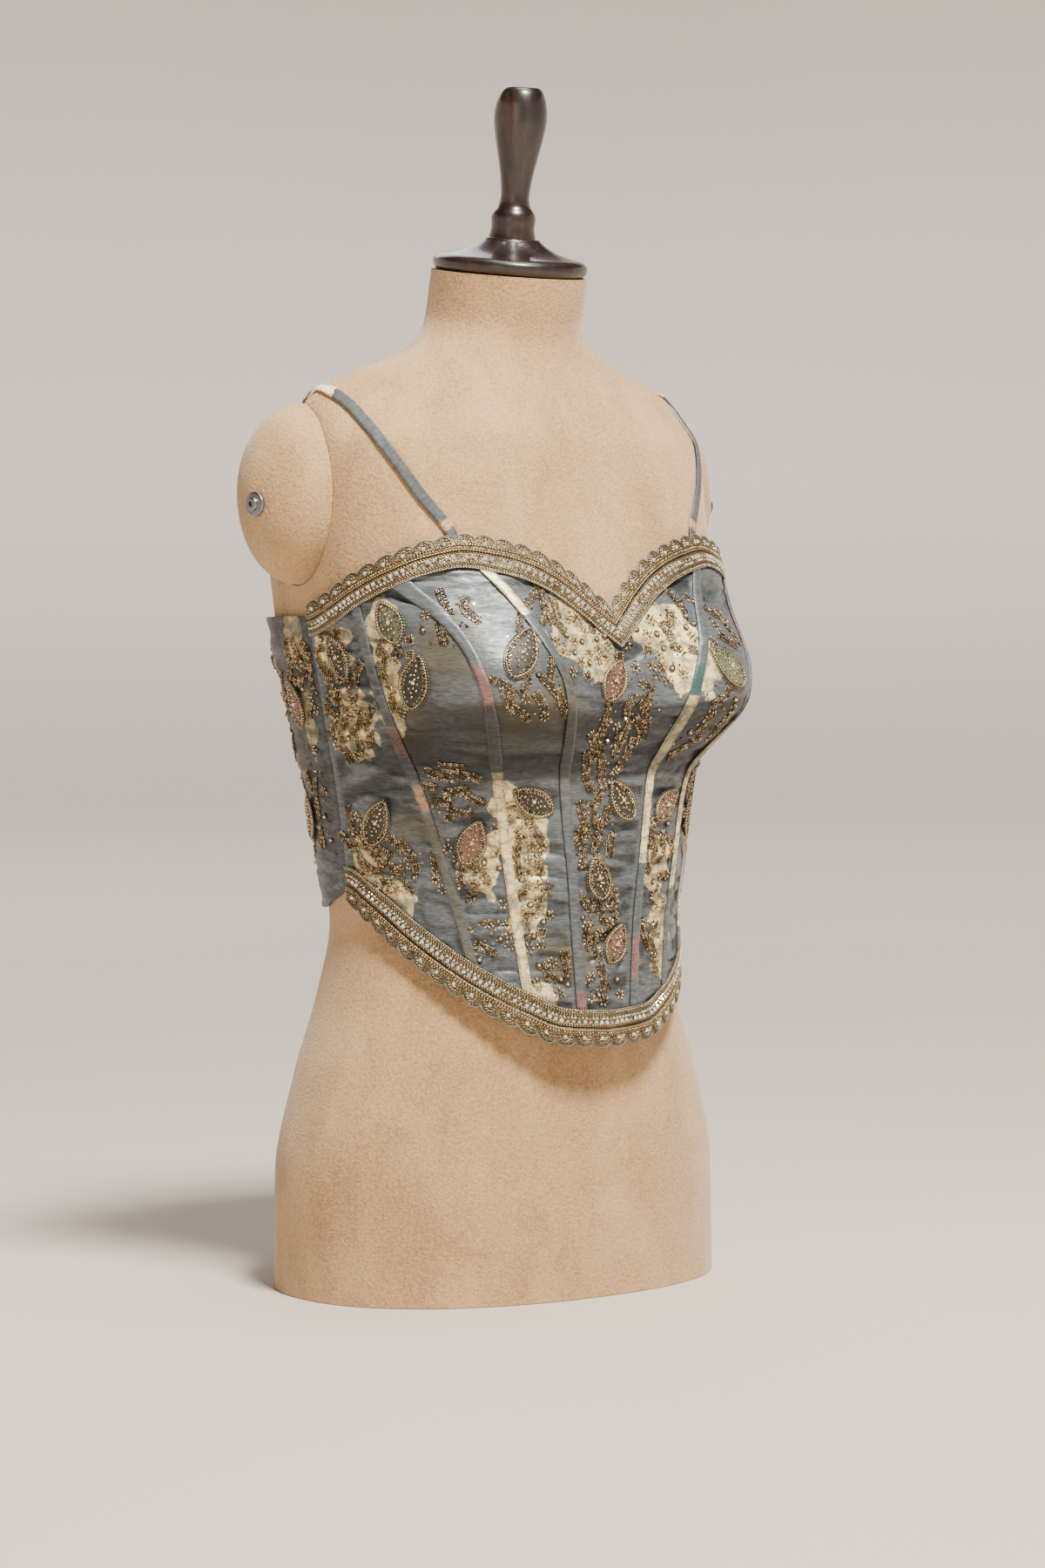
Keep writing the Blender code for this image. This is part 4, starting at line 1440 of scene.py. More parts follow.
BACK_CREASES = (
    Crease(104.0, 0.436, 0.050, 10.0, -0.0011, 0.0044),
    Crease(112.0, 0.404, 0.056, 6.0, -0.0012, 0.0046, 1.0),
    Crease(106.0, 0.372, 0.052, -12.0, -0.0012, 0.0042),
    Crease(118.0, 0.346, 0.060, -8.0, -0.0013, 0.0046, -1.0),
    Crease(108.0, 0.318, 0.050, -14.0, -0.0012, 0.0042),
    Crease(128.0, 0.300, 0.054, 8.0, -0.0011, 0.0044),
    Crease(140.0, 0.420, 0.060, 4.0, -0.0012, 0.0050),
    Crease(150.0, 0.382, 0.056, -10.0, -0.0012, 0.0046, 1.0),
    Crease(142.0, 0.350, 0.050, 12.0, 0.0006, 0.0044),
    Crease(158.0, 0.332, 0.048, 6.0, -0.0012, 0.0042),
    Crease(146.0, 0.306, 0.050, -6.0, -0.0011, 0.0044),
    Crease(160.0, 0.288, 0.040, 10.0, -0.0010, 0.0038),
)


@dataclass(frozen=True)
class Patch:
    """A printed or tinted area of the cloth: an oval in degrees and metres."""

    angle: float
    height: float
    half_angle: float
    half_height: float
    tint: str = "cream"

    def share(self, angle: Array, height: Array) -> Array:
        """How far inside the oval places are, 1 in the middle and 0 well outside."""
        reach = np.hypot((angle - self.angle) / self.half_angle, (height - self.height) / self.half_height)
        return np.clip(1.45 - 0.9 * reach, 0.0, 1.0)


PATCHES = (
    Patch(16.0, 0.466, 9.0, 0.024),
    Patch(9.0, 0.446, 6.0, 0.018),
    Patch(-14.0, 0.464, 9.0, 0.022),
    Patch(-19.0, 0.438, 7.0, 0.020),
    Patch(65.0, 0.462, 4.5, 0.020),
    Patch(63.0, 0.420, 4.0, 0.024),
    Patch(82.0, 0.448, 7.0, 0.020),
    Patch(78.0, 0.398, 8.0, 0.024),
    Patch(98.0, 0.452, 4.0, 0.026),
    Patch(99.0, 0.405, 3.5, 0.030),
    Patch(33.0, 0.344, 5.0, 0.014),
    Patch(29.0, 0.318, 7.0, 0.022),
    Patch(27.0, 0.276, 6.0, 0.022),
    Patch(40.0, 0.300, 5.0, 0.018),
    Patch(-23.0, 0.300, 6.0, 0.020),
    Patch(-26.0, 0.250, 6.0, 0.026),
    Patch(80.0, 0.304, 6.0, 0.020),
    Patch(68.0, 0.276, 5.0, 0.014),
    Patch(24.0, 0.212, 6.0, 0.010),
    Patch(-60.0, 0.455, 7.0, 0.024),
    Patch(-55.0, 0.330, 8.0, 0.028),
    Patch(-84.0, 0.420, 8.0, 0.034),
    Patch(-76.0, 0.300, 7.0, 0.020),
    Patch(-112.0, 0.345, 10.0, 0.030),
    Patch(-145.0, 0.425, 12.0, 0.026),
    Patch(-160.0, 0.315, 9.0, 0.026),
    Patch(124.0, 0.420, 10.0, 0.026),
    Patch(140.0, 0.320, 11.0, 0.028),
    Patch(165.0, 0.385, 8.0, 0.028),
    Patch(30.0, 0.404, 12.0, 0.018, "olive"),
    Patch(48.0, 0.452, 8.0, 0.022, "olive"),
    Patch(22.0, 0.410, 6.0, 0.020, "olive"),
    Patch(-38.0, 0.404, 12.0, 0.020, "olive"),
    Patch(60.0, 0.400, 8.0, 0.030, "olive"),
    Patch(14.0, 0.236, 9.0, 0.018, "olive"),
    Patch(108.0, 0.400, 10.0, 0.030, "olive"),
    Patch(-130.0, 0.380, 14.0, 0.030, "olive"),
)


@dataclass(frozen=True)
class Stretch:
    """A tinted stretch of a bone channel, from one height to another."""

    channel: str
    low: float
    high: float
    tint: str


STRETCHES = (
    Stretch("inner_right", 0.472, 0.520, "cream"),
    Stretch("inner_right", 0.392, 0.440, "olive"),
    Stretch("inner_right", 0.196, 0.214, "pink"),
    Stretch("cup_right", 0.200, 0.368, "cream"),
    Stretch("cup_right", 0.410, 0.440, "pink"),
    Stretch("outer_right", 0.230, 0.336, "olive"),
    Stretch("outer_right", 0.340, 0.356, "peach"),
    Stretch("outer_right", 0.378, 0.398, "pink"),
    Stretch("inner_left", 0.300, 0.418, "cream"),
    Stretch("inner_left", 0.418, 0.436, "teal"),
    Stretch("inner_left", 0.220, 0.250, "pink"),
    Stretch("cup_left", 0.280, 0.400, "cream"),
    Stretch("cup_left", 0.452, 0.474, "pink"),
    Stretch("outer_left", 0.250, 0.320, "cream"),
    Stretch("outer_left", 0.400, 0.424, "peach"),
)


class Relief:
    """The crushed cloth's relief: listed folds, gathers across and a fine crush."""

    DEEPEST = -0.0021
    HIGHEST = 0.00052
    # The trough depth by which the silk's painted shade is scaled.
    SHADE_DEPTH = 0.0024
    WAIST_DEEPEST = -0.0011
    GATHER = 0.00080
    CRUSH = 0.00018
    CRINKLE = 0.00110
    SINK = 0.00020
    LINE_WIDTH = 0.24
    CUP_CALM = 0.78
    STRENGTH = 1.15
    SWAY_SIZE = (0.030, 0.060)
    GATHER_SIZE = (0.017, 0.0043)
    BROAD_SIZE = (0.040, 0.0085)
    CRUSH_SIZE = (0.0060, 0.0021)
    LINE_SIZE = (0.026, 0.0078)
    SWAY_SHARE = 0.35
    BROAD_SHARE = 0.7
    CUP_MIDDLE = (38.0, 0.438)
    CUP_HALF = (22.0, 0.052)
    WAIST_FRONT = (48.0, 60.0)
    WAIST_REAR = (118.0, 130.0)
    WAIST_TOP = (0.335, 0.350)

    def __init__(self) -> None:
        """Mirrors the folds onto the left side, a little moved, and seeds the noises."""
        mirrored = tuple(
            Crease(-c.angle + 1.5, c.height + 0.004, c.length, -c.slope, c.depth, c.width, -c.bend)
            for c in CREASES + BACK_CREASES
        )
        self.creases = CREASES + BACK_CREASES + mirrored
        self.broad, self.fine, self.crush = SoftNoise(11), SoftNoise(23), SoftNoise(37)
        self.lines = SoftNoise(53)

    def depth(self, angle: Array, height: Array) -> Array:
        """How far the cloth stands out at places, negative in a trough.

        Args:
            angle: Angles from centre front.
            height: Heights.

        Returns:
            Metres outwards.
        """
        u, v = np.radians(angle) * MEAN_RADIUS, height
        total = np.zeros(np.broadcast(angle, height).shape)
        for crease in self.creases:
            across = np.radians(angle - crease.angle) * MEAN_RADIUS
            up = height - crease.height
            lean = math.radians(crease.slope)
            along = across * math.cos(lean) + up * math.sin(lean)
            off = -across * math.sin(lean) + up * math.cos(lean) - crease.bend * along**2
            fade = np.exp(-((along / (crease.length / 2)) ** 4))
            total += crease.depth * np.exp(-((off / crease.width) ** 2)) * fade
        (wide, tall), (broad, high) = self.GATHER_SIZE, self.BROAD_SIZE
        sway = self.SWAY_SHARE * self.broad(u / self.SWAY_SIZE[0], v / self.SWAY_SIZE[1])
        gather = self.fine(u / wide + sway, v / tall)
        gather = gather + self.BROAD_SHARE * self.broad(u / broad, v / high + sway)
        crush = self.crush(u / self.CRUSH_SIZE[0], v / self.CRUSH_SIZE[1])
        aside = (np.abs(angle) - self.CUP_MIDDLE[0]) / self.CUP_HALF[0]
        above = (height - self.CUP_MIDDLE[1]) / self.CUP_HALF[1]
        cup = np.exp(-(aside**4) - above**4)
        calm = 1.0 - self.CUP_CALM * cup
        lines = self.lines(u / self.LINE_SIZE[0] + 0.3 * sway, v / self.LINE_SIZE[1] + 0.5 * sway)
        crinkle = np.exp(-((lines / self.LINE_WIDTH) ** 2))
        total += (self.GATHER * gather + self.CRUSH * crush - self.CRINKLE * crinkle - self.SINK) * calm
        waist = ease(np.abs(angle), *self.WAIST_FRONT) * (1 - ease(np.abs(angle), *self.WAIST_REAR))
        waist = waist * (1 - ease(height, *self.WAIST_TOP))
        deepest = self.DEEPEST + (self.WAIST_DEEPEST - self.DEEPEST) * waist
        return np.maximum(self.STRENGTH * total, deepest)

    def settled(self, depth: Array, room: Array) -> Array:
        """The relief held under what lies on the cloth and calmed near the seams."""
        soft = np.where(depth > 0, self.HIGHEST * np.tanh(depth / self.HIGHEST), depth)
        return soft * (0.10 + 0.90 * room)


@dataclass
class ClothPanels:
    """The nine silk panels between the seams."""

    garment: Garment
    relief: Relief
    finish: Finish
    wall: float = 0.0009
    seam_gap: float = 0.0004
    front_mesh: float = 0.0012
    back_mesh: float = 0.0021
    across_share: float = 2.4
    ragged: SoftNoise = field(default_factory=lambda: SoftNoise(61))
    ragged_step: float = 0.009
    ragged_share: float = 0.34

    # Painted shade: how much darker the silk is painted where it faces down and on the back panels.
    SHADE = 0.9
    BACK_SHADE = 0.45
    UV_APART = 3.7
    DARKEST = 1.6
    PANELS = (
        ("cup_inner", "inner", "cup"),
        ("cup_outer", "cup", "outer"),
        ("side", "outer", "side"),
        ("back", "side", "back"),
    )

    def tints(self, angle: Array, height: Array) -> dict[str, Array]:
        """The print and shimmer at places.

        Args:
            angle: Angles from centre front.
            height: Heights.

        Returns:
            Values from 0 to 1 by the tint's name.
        """
        found = {"cream": np.zeros(angle.shape), "olive": np.zeros(angle.shape)}
        for patch in PATCHES:
            found[patch.tint] = np.maximum(found[patch.tint], patch.share(angle, height))
        step = self.ragged_step
        ragged = self.ragged(np.radians(angle) * MEAN_RADIUS / step, height / step)
        printed = found["cream"] + self.ragged_share * ragged * (found["cream"] > 0)
        found["cream"] = np.clip(printed, 0.0, 1.0)
        return found

    def panel(self, node: str, low: Callable, high: Callable, mesh_size: float) -> bpy.types.Object:
        """Makes one panel.

        Args:
            node: The CAD node it stands for.
            low: The seam at its lower angles, from rise to angle.
            high: The seam at its higher angles.
            mesh_size: The distance between its rows.

        Returns:
            The panel's object.
        """
        girth = self.garment.girth
        middle = float(low(0.5) + high(0.5)) / 2
        tall = float(self.garment.neck(abs(middle)) - self.garment.hem(abs(middle)))
        widest = max(abs(float(high(r) - low(r))) for r in (0.0, 0.3, 0.6, 1.0))
        rows = round(tall / mesh_size)
        columns = round(math.radians(widest) * MEAN_RADIUS / mesh_size / self.across_share)
        inset = math.degrees(self.seam_gap / 2 / MEAN_RADIUS)
        rise = np.linspace(0.0, 1.0, rows + 1)[:, None]
        share = np.linspace(0.0, 1.0, columns + 1)[None, :]
        left, right = low(rise) + inset, high(rise) - inset
        angle = left + share * (right - left)
        height = self.garment.height(angle, rise)
        flat = girth.point(angle, height)
        across = np.linalg.norm(np.diff(flat, axis=1), axis=2)
        runs = np.concatenate((np.zeros((rows + 1, 1)), np.cumsum(across, axis=1)), axis=1)
        climb = np.linalg.norm(np.diff(flat, axis=0), axis=2)
        from_low, from_high = runs, runs[:, -1:] - runs
        room = ease(np.minimum(from_low, from_high), SEAM_LOW, SEAM_HIGH)
        depth = self.relief.settled(self.relief.depth(angle, height), room)
        outer = girth.lifted(angle, height, depth)
        inner = girth.lifted(angle, height, depth - self.wall)
        middle_run = runs - runs[:, [columns // 2]]
        uv = np.stack([middle_run + math.radians(middle) * MEAN_RADIUS * self.UV_APART, height], -1)
        piece = PieceMesh(f"silk_{node}")
        tints = self.tints(angle, height)
        # Painted shade: darker in the folds' troughs, where the cloth faces down and over the back panels.
        hollow = (self.relief.HIGHEST - depth) / self.relief.SHADE_DEPTH
        hollow = hollow + self.SHADE * girth.underside(angle, height)
        if node.startswith("back"):
            hollow = hollow + self.BACK_SHADE
        tints["hollow"] = np.clip(hollow, 0.0, self.DARKEST) / self.DARKEST
        piece.shell(outer, inner, self.finish, uv, tints)
        obj = piece.make()
        width, length = float(runs[:, -1].max()), float(climb.sum(axis=0).max())
        cells = np.linalg.norm(
            np.cross(flat[1:, :-1] - flat[:-1, :-1], flat[:-1, 1:] - flat[:-1, :-1]), axis=2
        )
        seat(obj, Slot.SILK, node)
        area = max(min(float(cells.sum()), width * length), 0.3 * width * length)
        return obj

    def build(self) -> None:
        """Makes all the panels."""
        inner = self.garment.seam("inner")
        self.panel("front_centre", self.garment.seam("inner", -1), inner, self.front_mesh)
        for name, low, high in self.PANELS:
            size = self.back_mesh if name == "back" else self.front_mesh
            near, far = self.garment.seam(low), self.garment.seam(high)
            self.panel(f"{name}_right", near, far, size)
            near, far = self.garment.seam(high, -1), self.garment.seam(low, -1)
            self.panel(f"{name}_left", near, far, size)


def seat(obj: bpy.types.Object, slot: Slot, *nodes: str) -> None:
    """Lets a piece ride on the body and hides the CAD nodes that it stands for.

    Args:
        obj: The piece.
        slot: Not used.
        *nodes: The CAD nodes that it stands for.
    """
    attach(obj, BODY)
    if nodes:
        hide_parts(*nodes)
    LOG.info("%s: %d faces", obj.name, len(obj.data.polygons))


@dataclass(frozen=True)
class Border:
    """How far a trim's two rows run from the cloth's edge, negative where they stand beyond it."""

    lace_out: float
    lace_in: float
    braid_out: float
    braid_in: float


NECK_BORDER = Border(-0.0085, 0.0028, 0.0035, 0.0140)
HEM_BORDER = Border(-0.0095, 0.0036, 0.0043, 0.0160)


@dataclass
class Channels:
    """The six bone channels and the back placket, with their twin rows of stitches."""

    garment: Garment
    box: SewingBox
    wardrobe: Wardrobe
    width: float = 0.0074
    placket_width: float = 0.0220
    thickness: float = 0.0010
    mesh_size: float = 0.0018
    stitch_inset: float = 0.0011
    stitch_pitch: float = 0.0030
    stitch_size: Triple = (0.0021, 0.00045, 0.00045)
    across: int = 12
    end_tries: int = 6
    flattest_lean: float = 0.45
    rise_step: float = 0.01
    placket_margin: float = 0.004
    pucker: float = 0.00028
    bleed: float = 0.0035
    edge_round: float = 0.0012
    groove_width: float = 0.0004
    groove_share: float = 0.28
    stitch_height: float = 0.72
    tallest: float = 0.30

    def angle_at(self, middle: Callable, rise: Array, offset: Array) -> Array:
        """The angle a distance beside a seam.

        Args:
            middle: The seam, from rise to angle.
            rise: Shares of the way up.
            offset: Metres beside the seam, square to it.

        Returns:
            The angles.
        """
        girth, step = self.garment.girth, self.rise_step

        def cloth(share: Array) -> Array:
            """Points of the seam at shares of the way up."""
            angle = middle(share)
            return girth.point(angle, self.garment.height(angle, share))

        here = cloth(rise)
        along = unit(cloth(np.minimum(rise + step, 1.0)) - cloth(np.maximum(rise - step, 0.0)))
        radius = np.hypot(here[..., 0], here[..., 1] - AXIS_Y - GIRTH_CENTRE)
        lean = np.maximum(np.abs(along[..., 2]), self.flattest_lean)
        return middle(rise) + np.degrees(offset / lean / radius)

    def ends(self, angle: Array, full: bool) -> tuple[Array, Array]:
        """Where a channel starts and stops at an angle, as rises.

        Args:
            angle: Angles from centre front.
            full: Whether it runs from edge to edge.

        Returns:
            The rises of its ends.
        """
        if full:
            still = np.zeros(angle.shape)
            return still + self.placket_margin, still + 1 - self.placket_margin
        garment, around = self.garment, np.abs(angle)
        start = garment.hem(around) + HEM_BORDER.braid_in * garment.edge_slope(garment.hem, angle)
        stop = garment.neck(around) - NECK_BORDER.braid_in * garment.edge_slope(garment.neck, angle)
        return garment.rise(angle, start + SMALL_STEP), garment.rise(angle, stop - SMALL_STEP)

    def channel(self, node: str, middle: Callable, width: float, finish: Finish) -> None:
        """Makes one channel.

        Args:
            node: The CAD node it stands for.
            middle: Its seam.
            width: Its finished width.
            finish: Its cloth.
        """
        full = node == "back_placket"
        offset = np.linspace(-width / 2, width / 2, self.across + 1)
        low, high = np.zeros(offset.shape), np.ones(offset.shape)
        for _ in range(self.end_tries):
            low = self.ends(self.angle_at(middle, low, offset), full)[0]
            high = self.ends(self.angle_at(middle, high, offset), full)[1]
        rows = round(self.tallest / self.mesh_size)
        share = np.linspace(0.0, 1.0, rows + 1)[:, None]
        rise = low[None, :] + share * (high - low)[None, :]
        angle = self.angle_at(middle, rise, offset[None, :])
        height = self.garment.height(angle, rise)
        inwards = width / 2 - np.abs(offset)[None, :]
        groove = np.exp(-(((inwards - self.stitch_inset) / self.groove_width) ** 2))
        swell = ease(inwards, 0.0, self.edge_round) * (1.0 - self.groove_share * groove)
        pucker = SoftNoise(len(node))(height / 0.0021, offset[None, :] / 0.004)
        top = LAYER_GAP + self.thickness * (0.35 + 0.65 * swell) + self.pucker * pucker
        girth = self.garment.girth
        outer = girth.lifted(angle, height, top)
        inner = girth.lifted(angle, height, np.full(height.shape, LAYER_GAP - TUCK))
        uv = np.stack(np.broadcast_arrays(offset[None, :] + 0.4, height), -1)
        piece = PieceMesh("silk_back_placket" if full else f"bone_{node}")
        tints = self.tints(node, height)
        # Painted shade: darker in the pucker's troughs and where the channel faces down.
        tints["hollow"] = 0.22 - 0.16 * pucker + 0.55 * girth.underside(angle, height)
        piece.shell(outer, inner, finish, uv, tints)
        lot = BeadLot()
        for side in (-1, 1):
            beside = side * (width / 2 - self.stitch_inset)
            column = self.angle_at(middle, rise[:, 0], np.full(rows + 1, beside))
            level = self.garment.height(column, rise[:, 0])
            lift = LAYER_GAP + self.stitch_height * self.thickness
            path = girth.lifted(column, level, np.full(rows + 1, lift))
            run = run_along(path)
            marks = np.arange(self.stitch_pitch, run[-1] - self.stitch_pitch, self.stitch_pitch)
            spots, ahead = read_along(marks, run, path), read_along(marks + SMALL_STEP, run, path)
            angles, levels = np.interp(marks, run, column), np.interp(marks, run, level)
            normal = girth.axes(angles, levels)[2]
            lot.put(spots, np.cross(unit(ahead - spots), normal), unit(ahead - spots), self.stitch_order())
        self.box.sew(piece, BeadShape.STITCH, lot, self.wardrobe.stitch, smooth=True)
        obj = piece.make()
        seat(obj, Slot.CHANNEL, "back_placket" if full else node)
        length = float(np.linalg.norm(np.diff(outer[:, self.across // 2], axis=0), axis=1).sum())
        max(width, 0.010)
        self.under(node)

    @staticmethod
    def under(node: str) -> list[str]:
        """The panels that a channel or the placket lies on.

        Args:
            node: The CAD node.

        Returns:
            The panels' names.
        """
        if node == "back_placket":
            return ["silk_back_right", "silk_back_left"]
        _, seam, word = node.split("_")
        centre = "silk_front_centre"
        pairs = {
            "inner": [centre, f"silk_cup_inner_{word}"],
            "cup": [f"silk_cup_inner_{word}", f"silk_cup_outer_{word}"],
            "outer": [f"silk_cup_outer_{word}", f"silk_side_{word}"],
        }
        return pairs[seam]

    def stitch_order(self) -> Triple:
        """A stitch's sizes with its length along its own Z."""
        long, wide, deep = self.stitch_size
        return wide, deep, long

    def tints(self, node: str, height: Array) -> dict[str, Array]:
        """The tinted stretches of one channel.

        Args:
            node: The CAD node.
            height: Heights.

        Returns:
            Values from 0 to 1 by the tint's name.
        """
        found = {name: np.zeros(height.shape) for name in ("cream", "olive", "pink", "teal", "peach")}
        for stretch in STRETCHES:
            if node == f"channel_{stretch.channel}":
                inside = ease(height, stretch.low - self.bleed, stretch.low + self.bleed)
                inside = inside * (1 - ease(height, stretch.high - self.bleed, stretch.high + self.bleed))
                found[stretch.tint] = np.maximum(found[stretch.tint], 0.72 * inside)
        return found

    def build(self) -> None:
        """Makes the channels and the placket."""
        for name in ("inner", "cup", "outer"):
            for word, side in SIDES:
                middle = self.garment.seam(name, -side)
                self.channel(f"channel_{name}_{word}", middle, self.width, self.wardrobe.silk)
        self.channel("back_placket", self.garment.seam("back"), self.placket_width, self.wardrobe.placket)


@dataclass
class Trim:
    """One jewelled trim: a scalloped lace and the braid inside it, on the neck or the hem edge."""

    name: str
    edge: SmoothColumn
    inwards: int
    border: Border
    garment: Garment
    box: SewingBox
    wardrobe: Wardrobe
    pitch: float = 0.0140
    dip: float = 0.0032
    fullness: float = 0.6
    steps: int = 14
    ground_wall: float = 0.0006
    ground_rows: int = 5
    cord: float = 0.00042
    stone: float = 0.0027
    bead: float = 0.0012
    row_bead: float = 0.0018
    stone_gap: float = 1.34
    longer: float = 0.01

    BRAID_CORDS = (0.03, 0.125, 0.66, 0.755, 0.975)
    STONE_ROWS = (0.275, 0.525)
    ROW_SIZES = (1.22, 0.78)
    BEAD_ROW = 0.865
    ARC_BASE = -0.0016
    LACE_STONE = 1.15
    ARC_SCALES = (0.84, 0.64, 0.46)
    ARC_WEIGHTS = (1.0, 0.9, 0.8)
    ARC_WIDTH = 0.98
    ROUNDNESS = 0.7
    FAN = (0.16, 0.84, 5)
    FAN_WIDTH = 0.50
    FAN_DEPTH = 0.36
    LACE_CORDS = (-0.0012, 0.0019)
    LACE_BEADS = 0.0003
    GLINT_SHARE = 0.25
    ZIGZAG = 0.055
    FIRST_ZIGZAG = 0.19

    def __post_init__(self) -> None:
        """Shares the edge out into whole scallops from side seam to side seam."""
        angles, runs = self.garment.edge_runs(self.edge)
        self.half = float(runs[-1])
        self.count = round(self.half / self.pitch)
        self.along = np.concatenate((-runs[:0:-1], runs))
        self.angles = np.concatenate((-angles[:0:-1], angles))

    def place(self, along: Array, inset: Array, out: float | Array) -> Array:
        """Points of the trim.

        Args:
            along: Metres along the edge from centre front.
            inset: Metres in from the edge, negative beyond it.
            out: Height above the cloth.

        Returns:
            The points.
        """
        along, inset = np.broadcast_arrays(along, inset)
        angle = np.interp(along, self.along, self.angles)
        slope = self.garment.edge_slope(self.edge, angle)
        height = self.edge(np.abs(angle)) + self.inwards * inset * slope
        return self.garment.girth.lifted(angle, height, out)

    def normals(self, along: Array) -> Array:
        """Directions out of the cloth at places along the edge."""
        angle = np.interp(along, self.along, self.angles)
        return self.garment.girth.axes(angle, self.edge(np.abs(angle)))[2]

    def outline(self, share: Array) -> Array:
        """The scalloped rim's inset at a share of one scallop."""
        wave = np.maximum(np.sin(math.pi * (share % 1.0)), 0.0) ** self.fullness
        return self.border.lace_out + self.dip * (1 - wave)

    def line(self, piece: PieceMesh, inset: float, radius: float, finish: Finish) -> None:
        """Lays one cord along the whole edge.

        Args:
            piece: What it is added to.
            inset: Metres in from the edge.
            radius: The cord's radius.
            finish: Its material.
        """
        along = np.linspace(-self.half, self.half, self.count * self.steps + 1)
        path = self.place(along, np.full(along.shape, inset), LAYER_GAP + self.ground_wall + 0.7 * radius)
        piece.tube(path, self.normals(along), radius, finish, 6)

    def ground(self, node: str, near: Array, far: Array, along: Array) -> bpy.types.Object:
        """Makes the woven ground between two insets.

        Args:
            node: The CAD node it stands for.
            near: The inset of its outer rim at each place.
            far: The inset of its inner rim.
            along: The places.

        Returns:
            The ground's object.
        """
        piece = PieceMesh(f"tissue_{node}")
        share = np.linspace(0.0, 1.0, self.ground_rows + 1)[:, None]
        inset = near[None, :] * (1 - share) + far[None, :] * share
        if self.inwards < 0:
            inset = inset[::-1]
        places = np.broadcast_to(along[None, :], inset.shape)
        outer = self.place(places, inset, LAYER_GAP + self.ground_wall)
        inner = self.place(places, inset, LAYER_GAP - TUCK)
        piece.shell(outer, inner, self.wardrobe.tissue, np.stack([places, inset], -1))
        obj = piece.make()
        seat(obj, Slot.BORDER, node)
        return obj

    def lace(self, node: str) -> None:
        """Makes the scalloped lace: piping, arcs and a fan of stones in each scallop.

        Args:
            node: The CAD node.
        """
        wardrobe, border = self.wardrobe, self.border
        piece = PieceMesh(f"jewelled_{node}")
        along = np.linspace(-self.half, self.half, 2 * self.count * self.steps + 1)
        share = (along + self.half) / self.half * self.count
        rim = self.outline(share)
        ground = self.ground(node, rim, np.full(rim.shape, border.lace_in), along)
        path = self.place(along, rim, LAYER_GAP + self.ground_wall)
        piece.tube(path, self.normals(along), self.cord * 1.15, wardrobe.piping, 6)
        base = self.ARC_BASE
        starts = -self.half + (np.arange(2 * self.count) + 0.5) * self.half / self.count
        dull = wardrobe.dull_gold
        arcs = tuple(zip(self.ARC_SCALES, (dull, wardrobe.silver, dull), self.ARC_WEIGHTS))
        stones, beads = BeadLot(), BeadLot()
        bend = np.linspace(0.0, 1.0, self.steps)
        for middle in starts:
            for scale, finish, weight in arcs:
                across = middle + (bend - 0.5) * self.pitch * scale * self.ARC_WIDTH
                bulge = np.sin(math.pi * bend) ** self.ROUNDNESS
                inset = base + (border.lace_out - base) * scale * bulge
                arc = self.place(across, inset, LAYER_GAP + self.ground_wall + 0.7 * self.cord)
                piece.tube(arc, self.normals(across), self.cord * weight, finish, 5)
            fan = np.linspace(*self.FAN)
            across = middle + (fan - 0.5) * self.pitch * self.FAN_WIDTH
            bulge = np.sin(math.pi * fan) ** self.ROUNDNESS
            inset = base + (border.lace_out - base) * self.FAN_DEPTH * bulge
            self.sew_on(beads, across, inset, self.bead)
            self.sew_on(stones, np.array([middle]), np.array([2 * base]), self.stone * self.LACE_STONE)
        self.box.sew(piece, BeadShape.STONE, stones, wardrobe.stone)
        self.box.sew(piece, BeadShape.BEAD, beads, wardrobe.bead, smooth=True)
        for inset, finish in zip(self.LACE_CORDS, (dull, wardrobe.gold)):
            self.line(piece, inset, self.cord, finish)
        row = BeadLot()
        spots = np.arange(-self.half + self.bead, self.half, self.row_bead * 1.2)
        self.sew_on(row, spots, np.full(spots.shape, self.LACE_BEADS), self.row_bead)
        self.box.sew(piece, BeadShape.BEAD, row, wardrobe.bead, smooth=True)
        self.declare(piece)

    def sew_on(self, lot: BeadLot, along: Array, inset: Array, size: float) -> None:
        """Adds stones or beads of a size at places of the trim.

        Args:
            lot: What they are added to.
            along: Metres along the edge.
            inset: Metres in from it.
            size: Their width.
        """
        spots = self.place(along, inset, LAYER_GAP + self.ground_wall + 0.12 * size)
        out = self.normals(along)
        ahead = self.place(along + SMALL_STEP, inset, LAYER_GAP) - self.place(along, inset, LAYER_GAP)
        lot.put(spots, ahead, out, (size, size, size * 0.8))

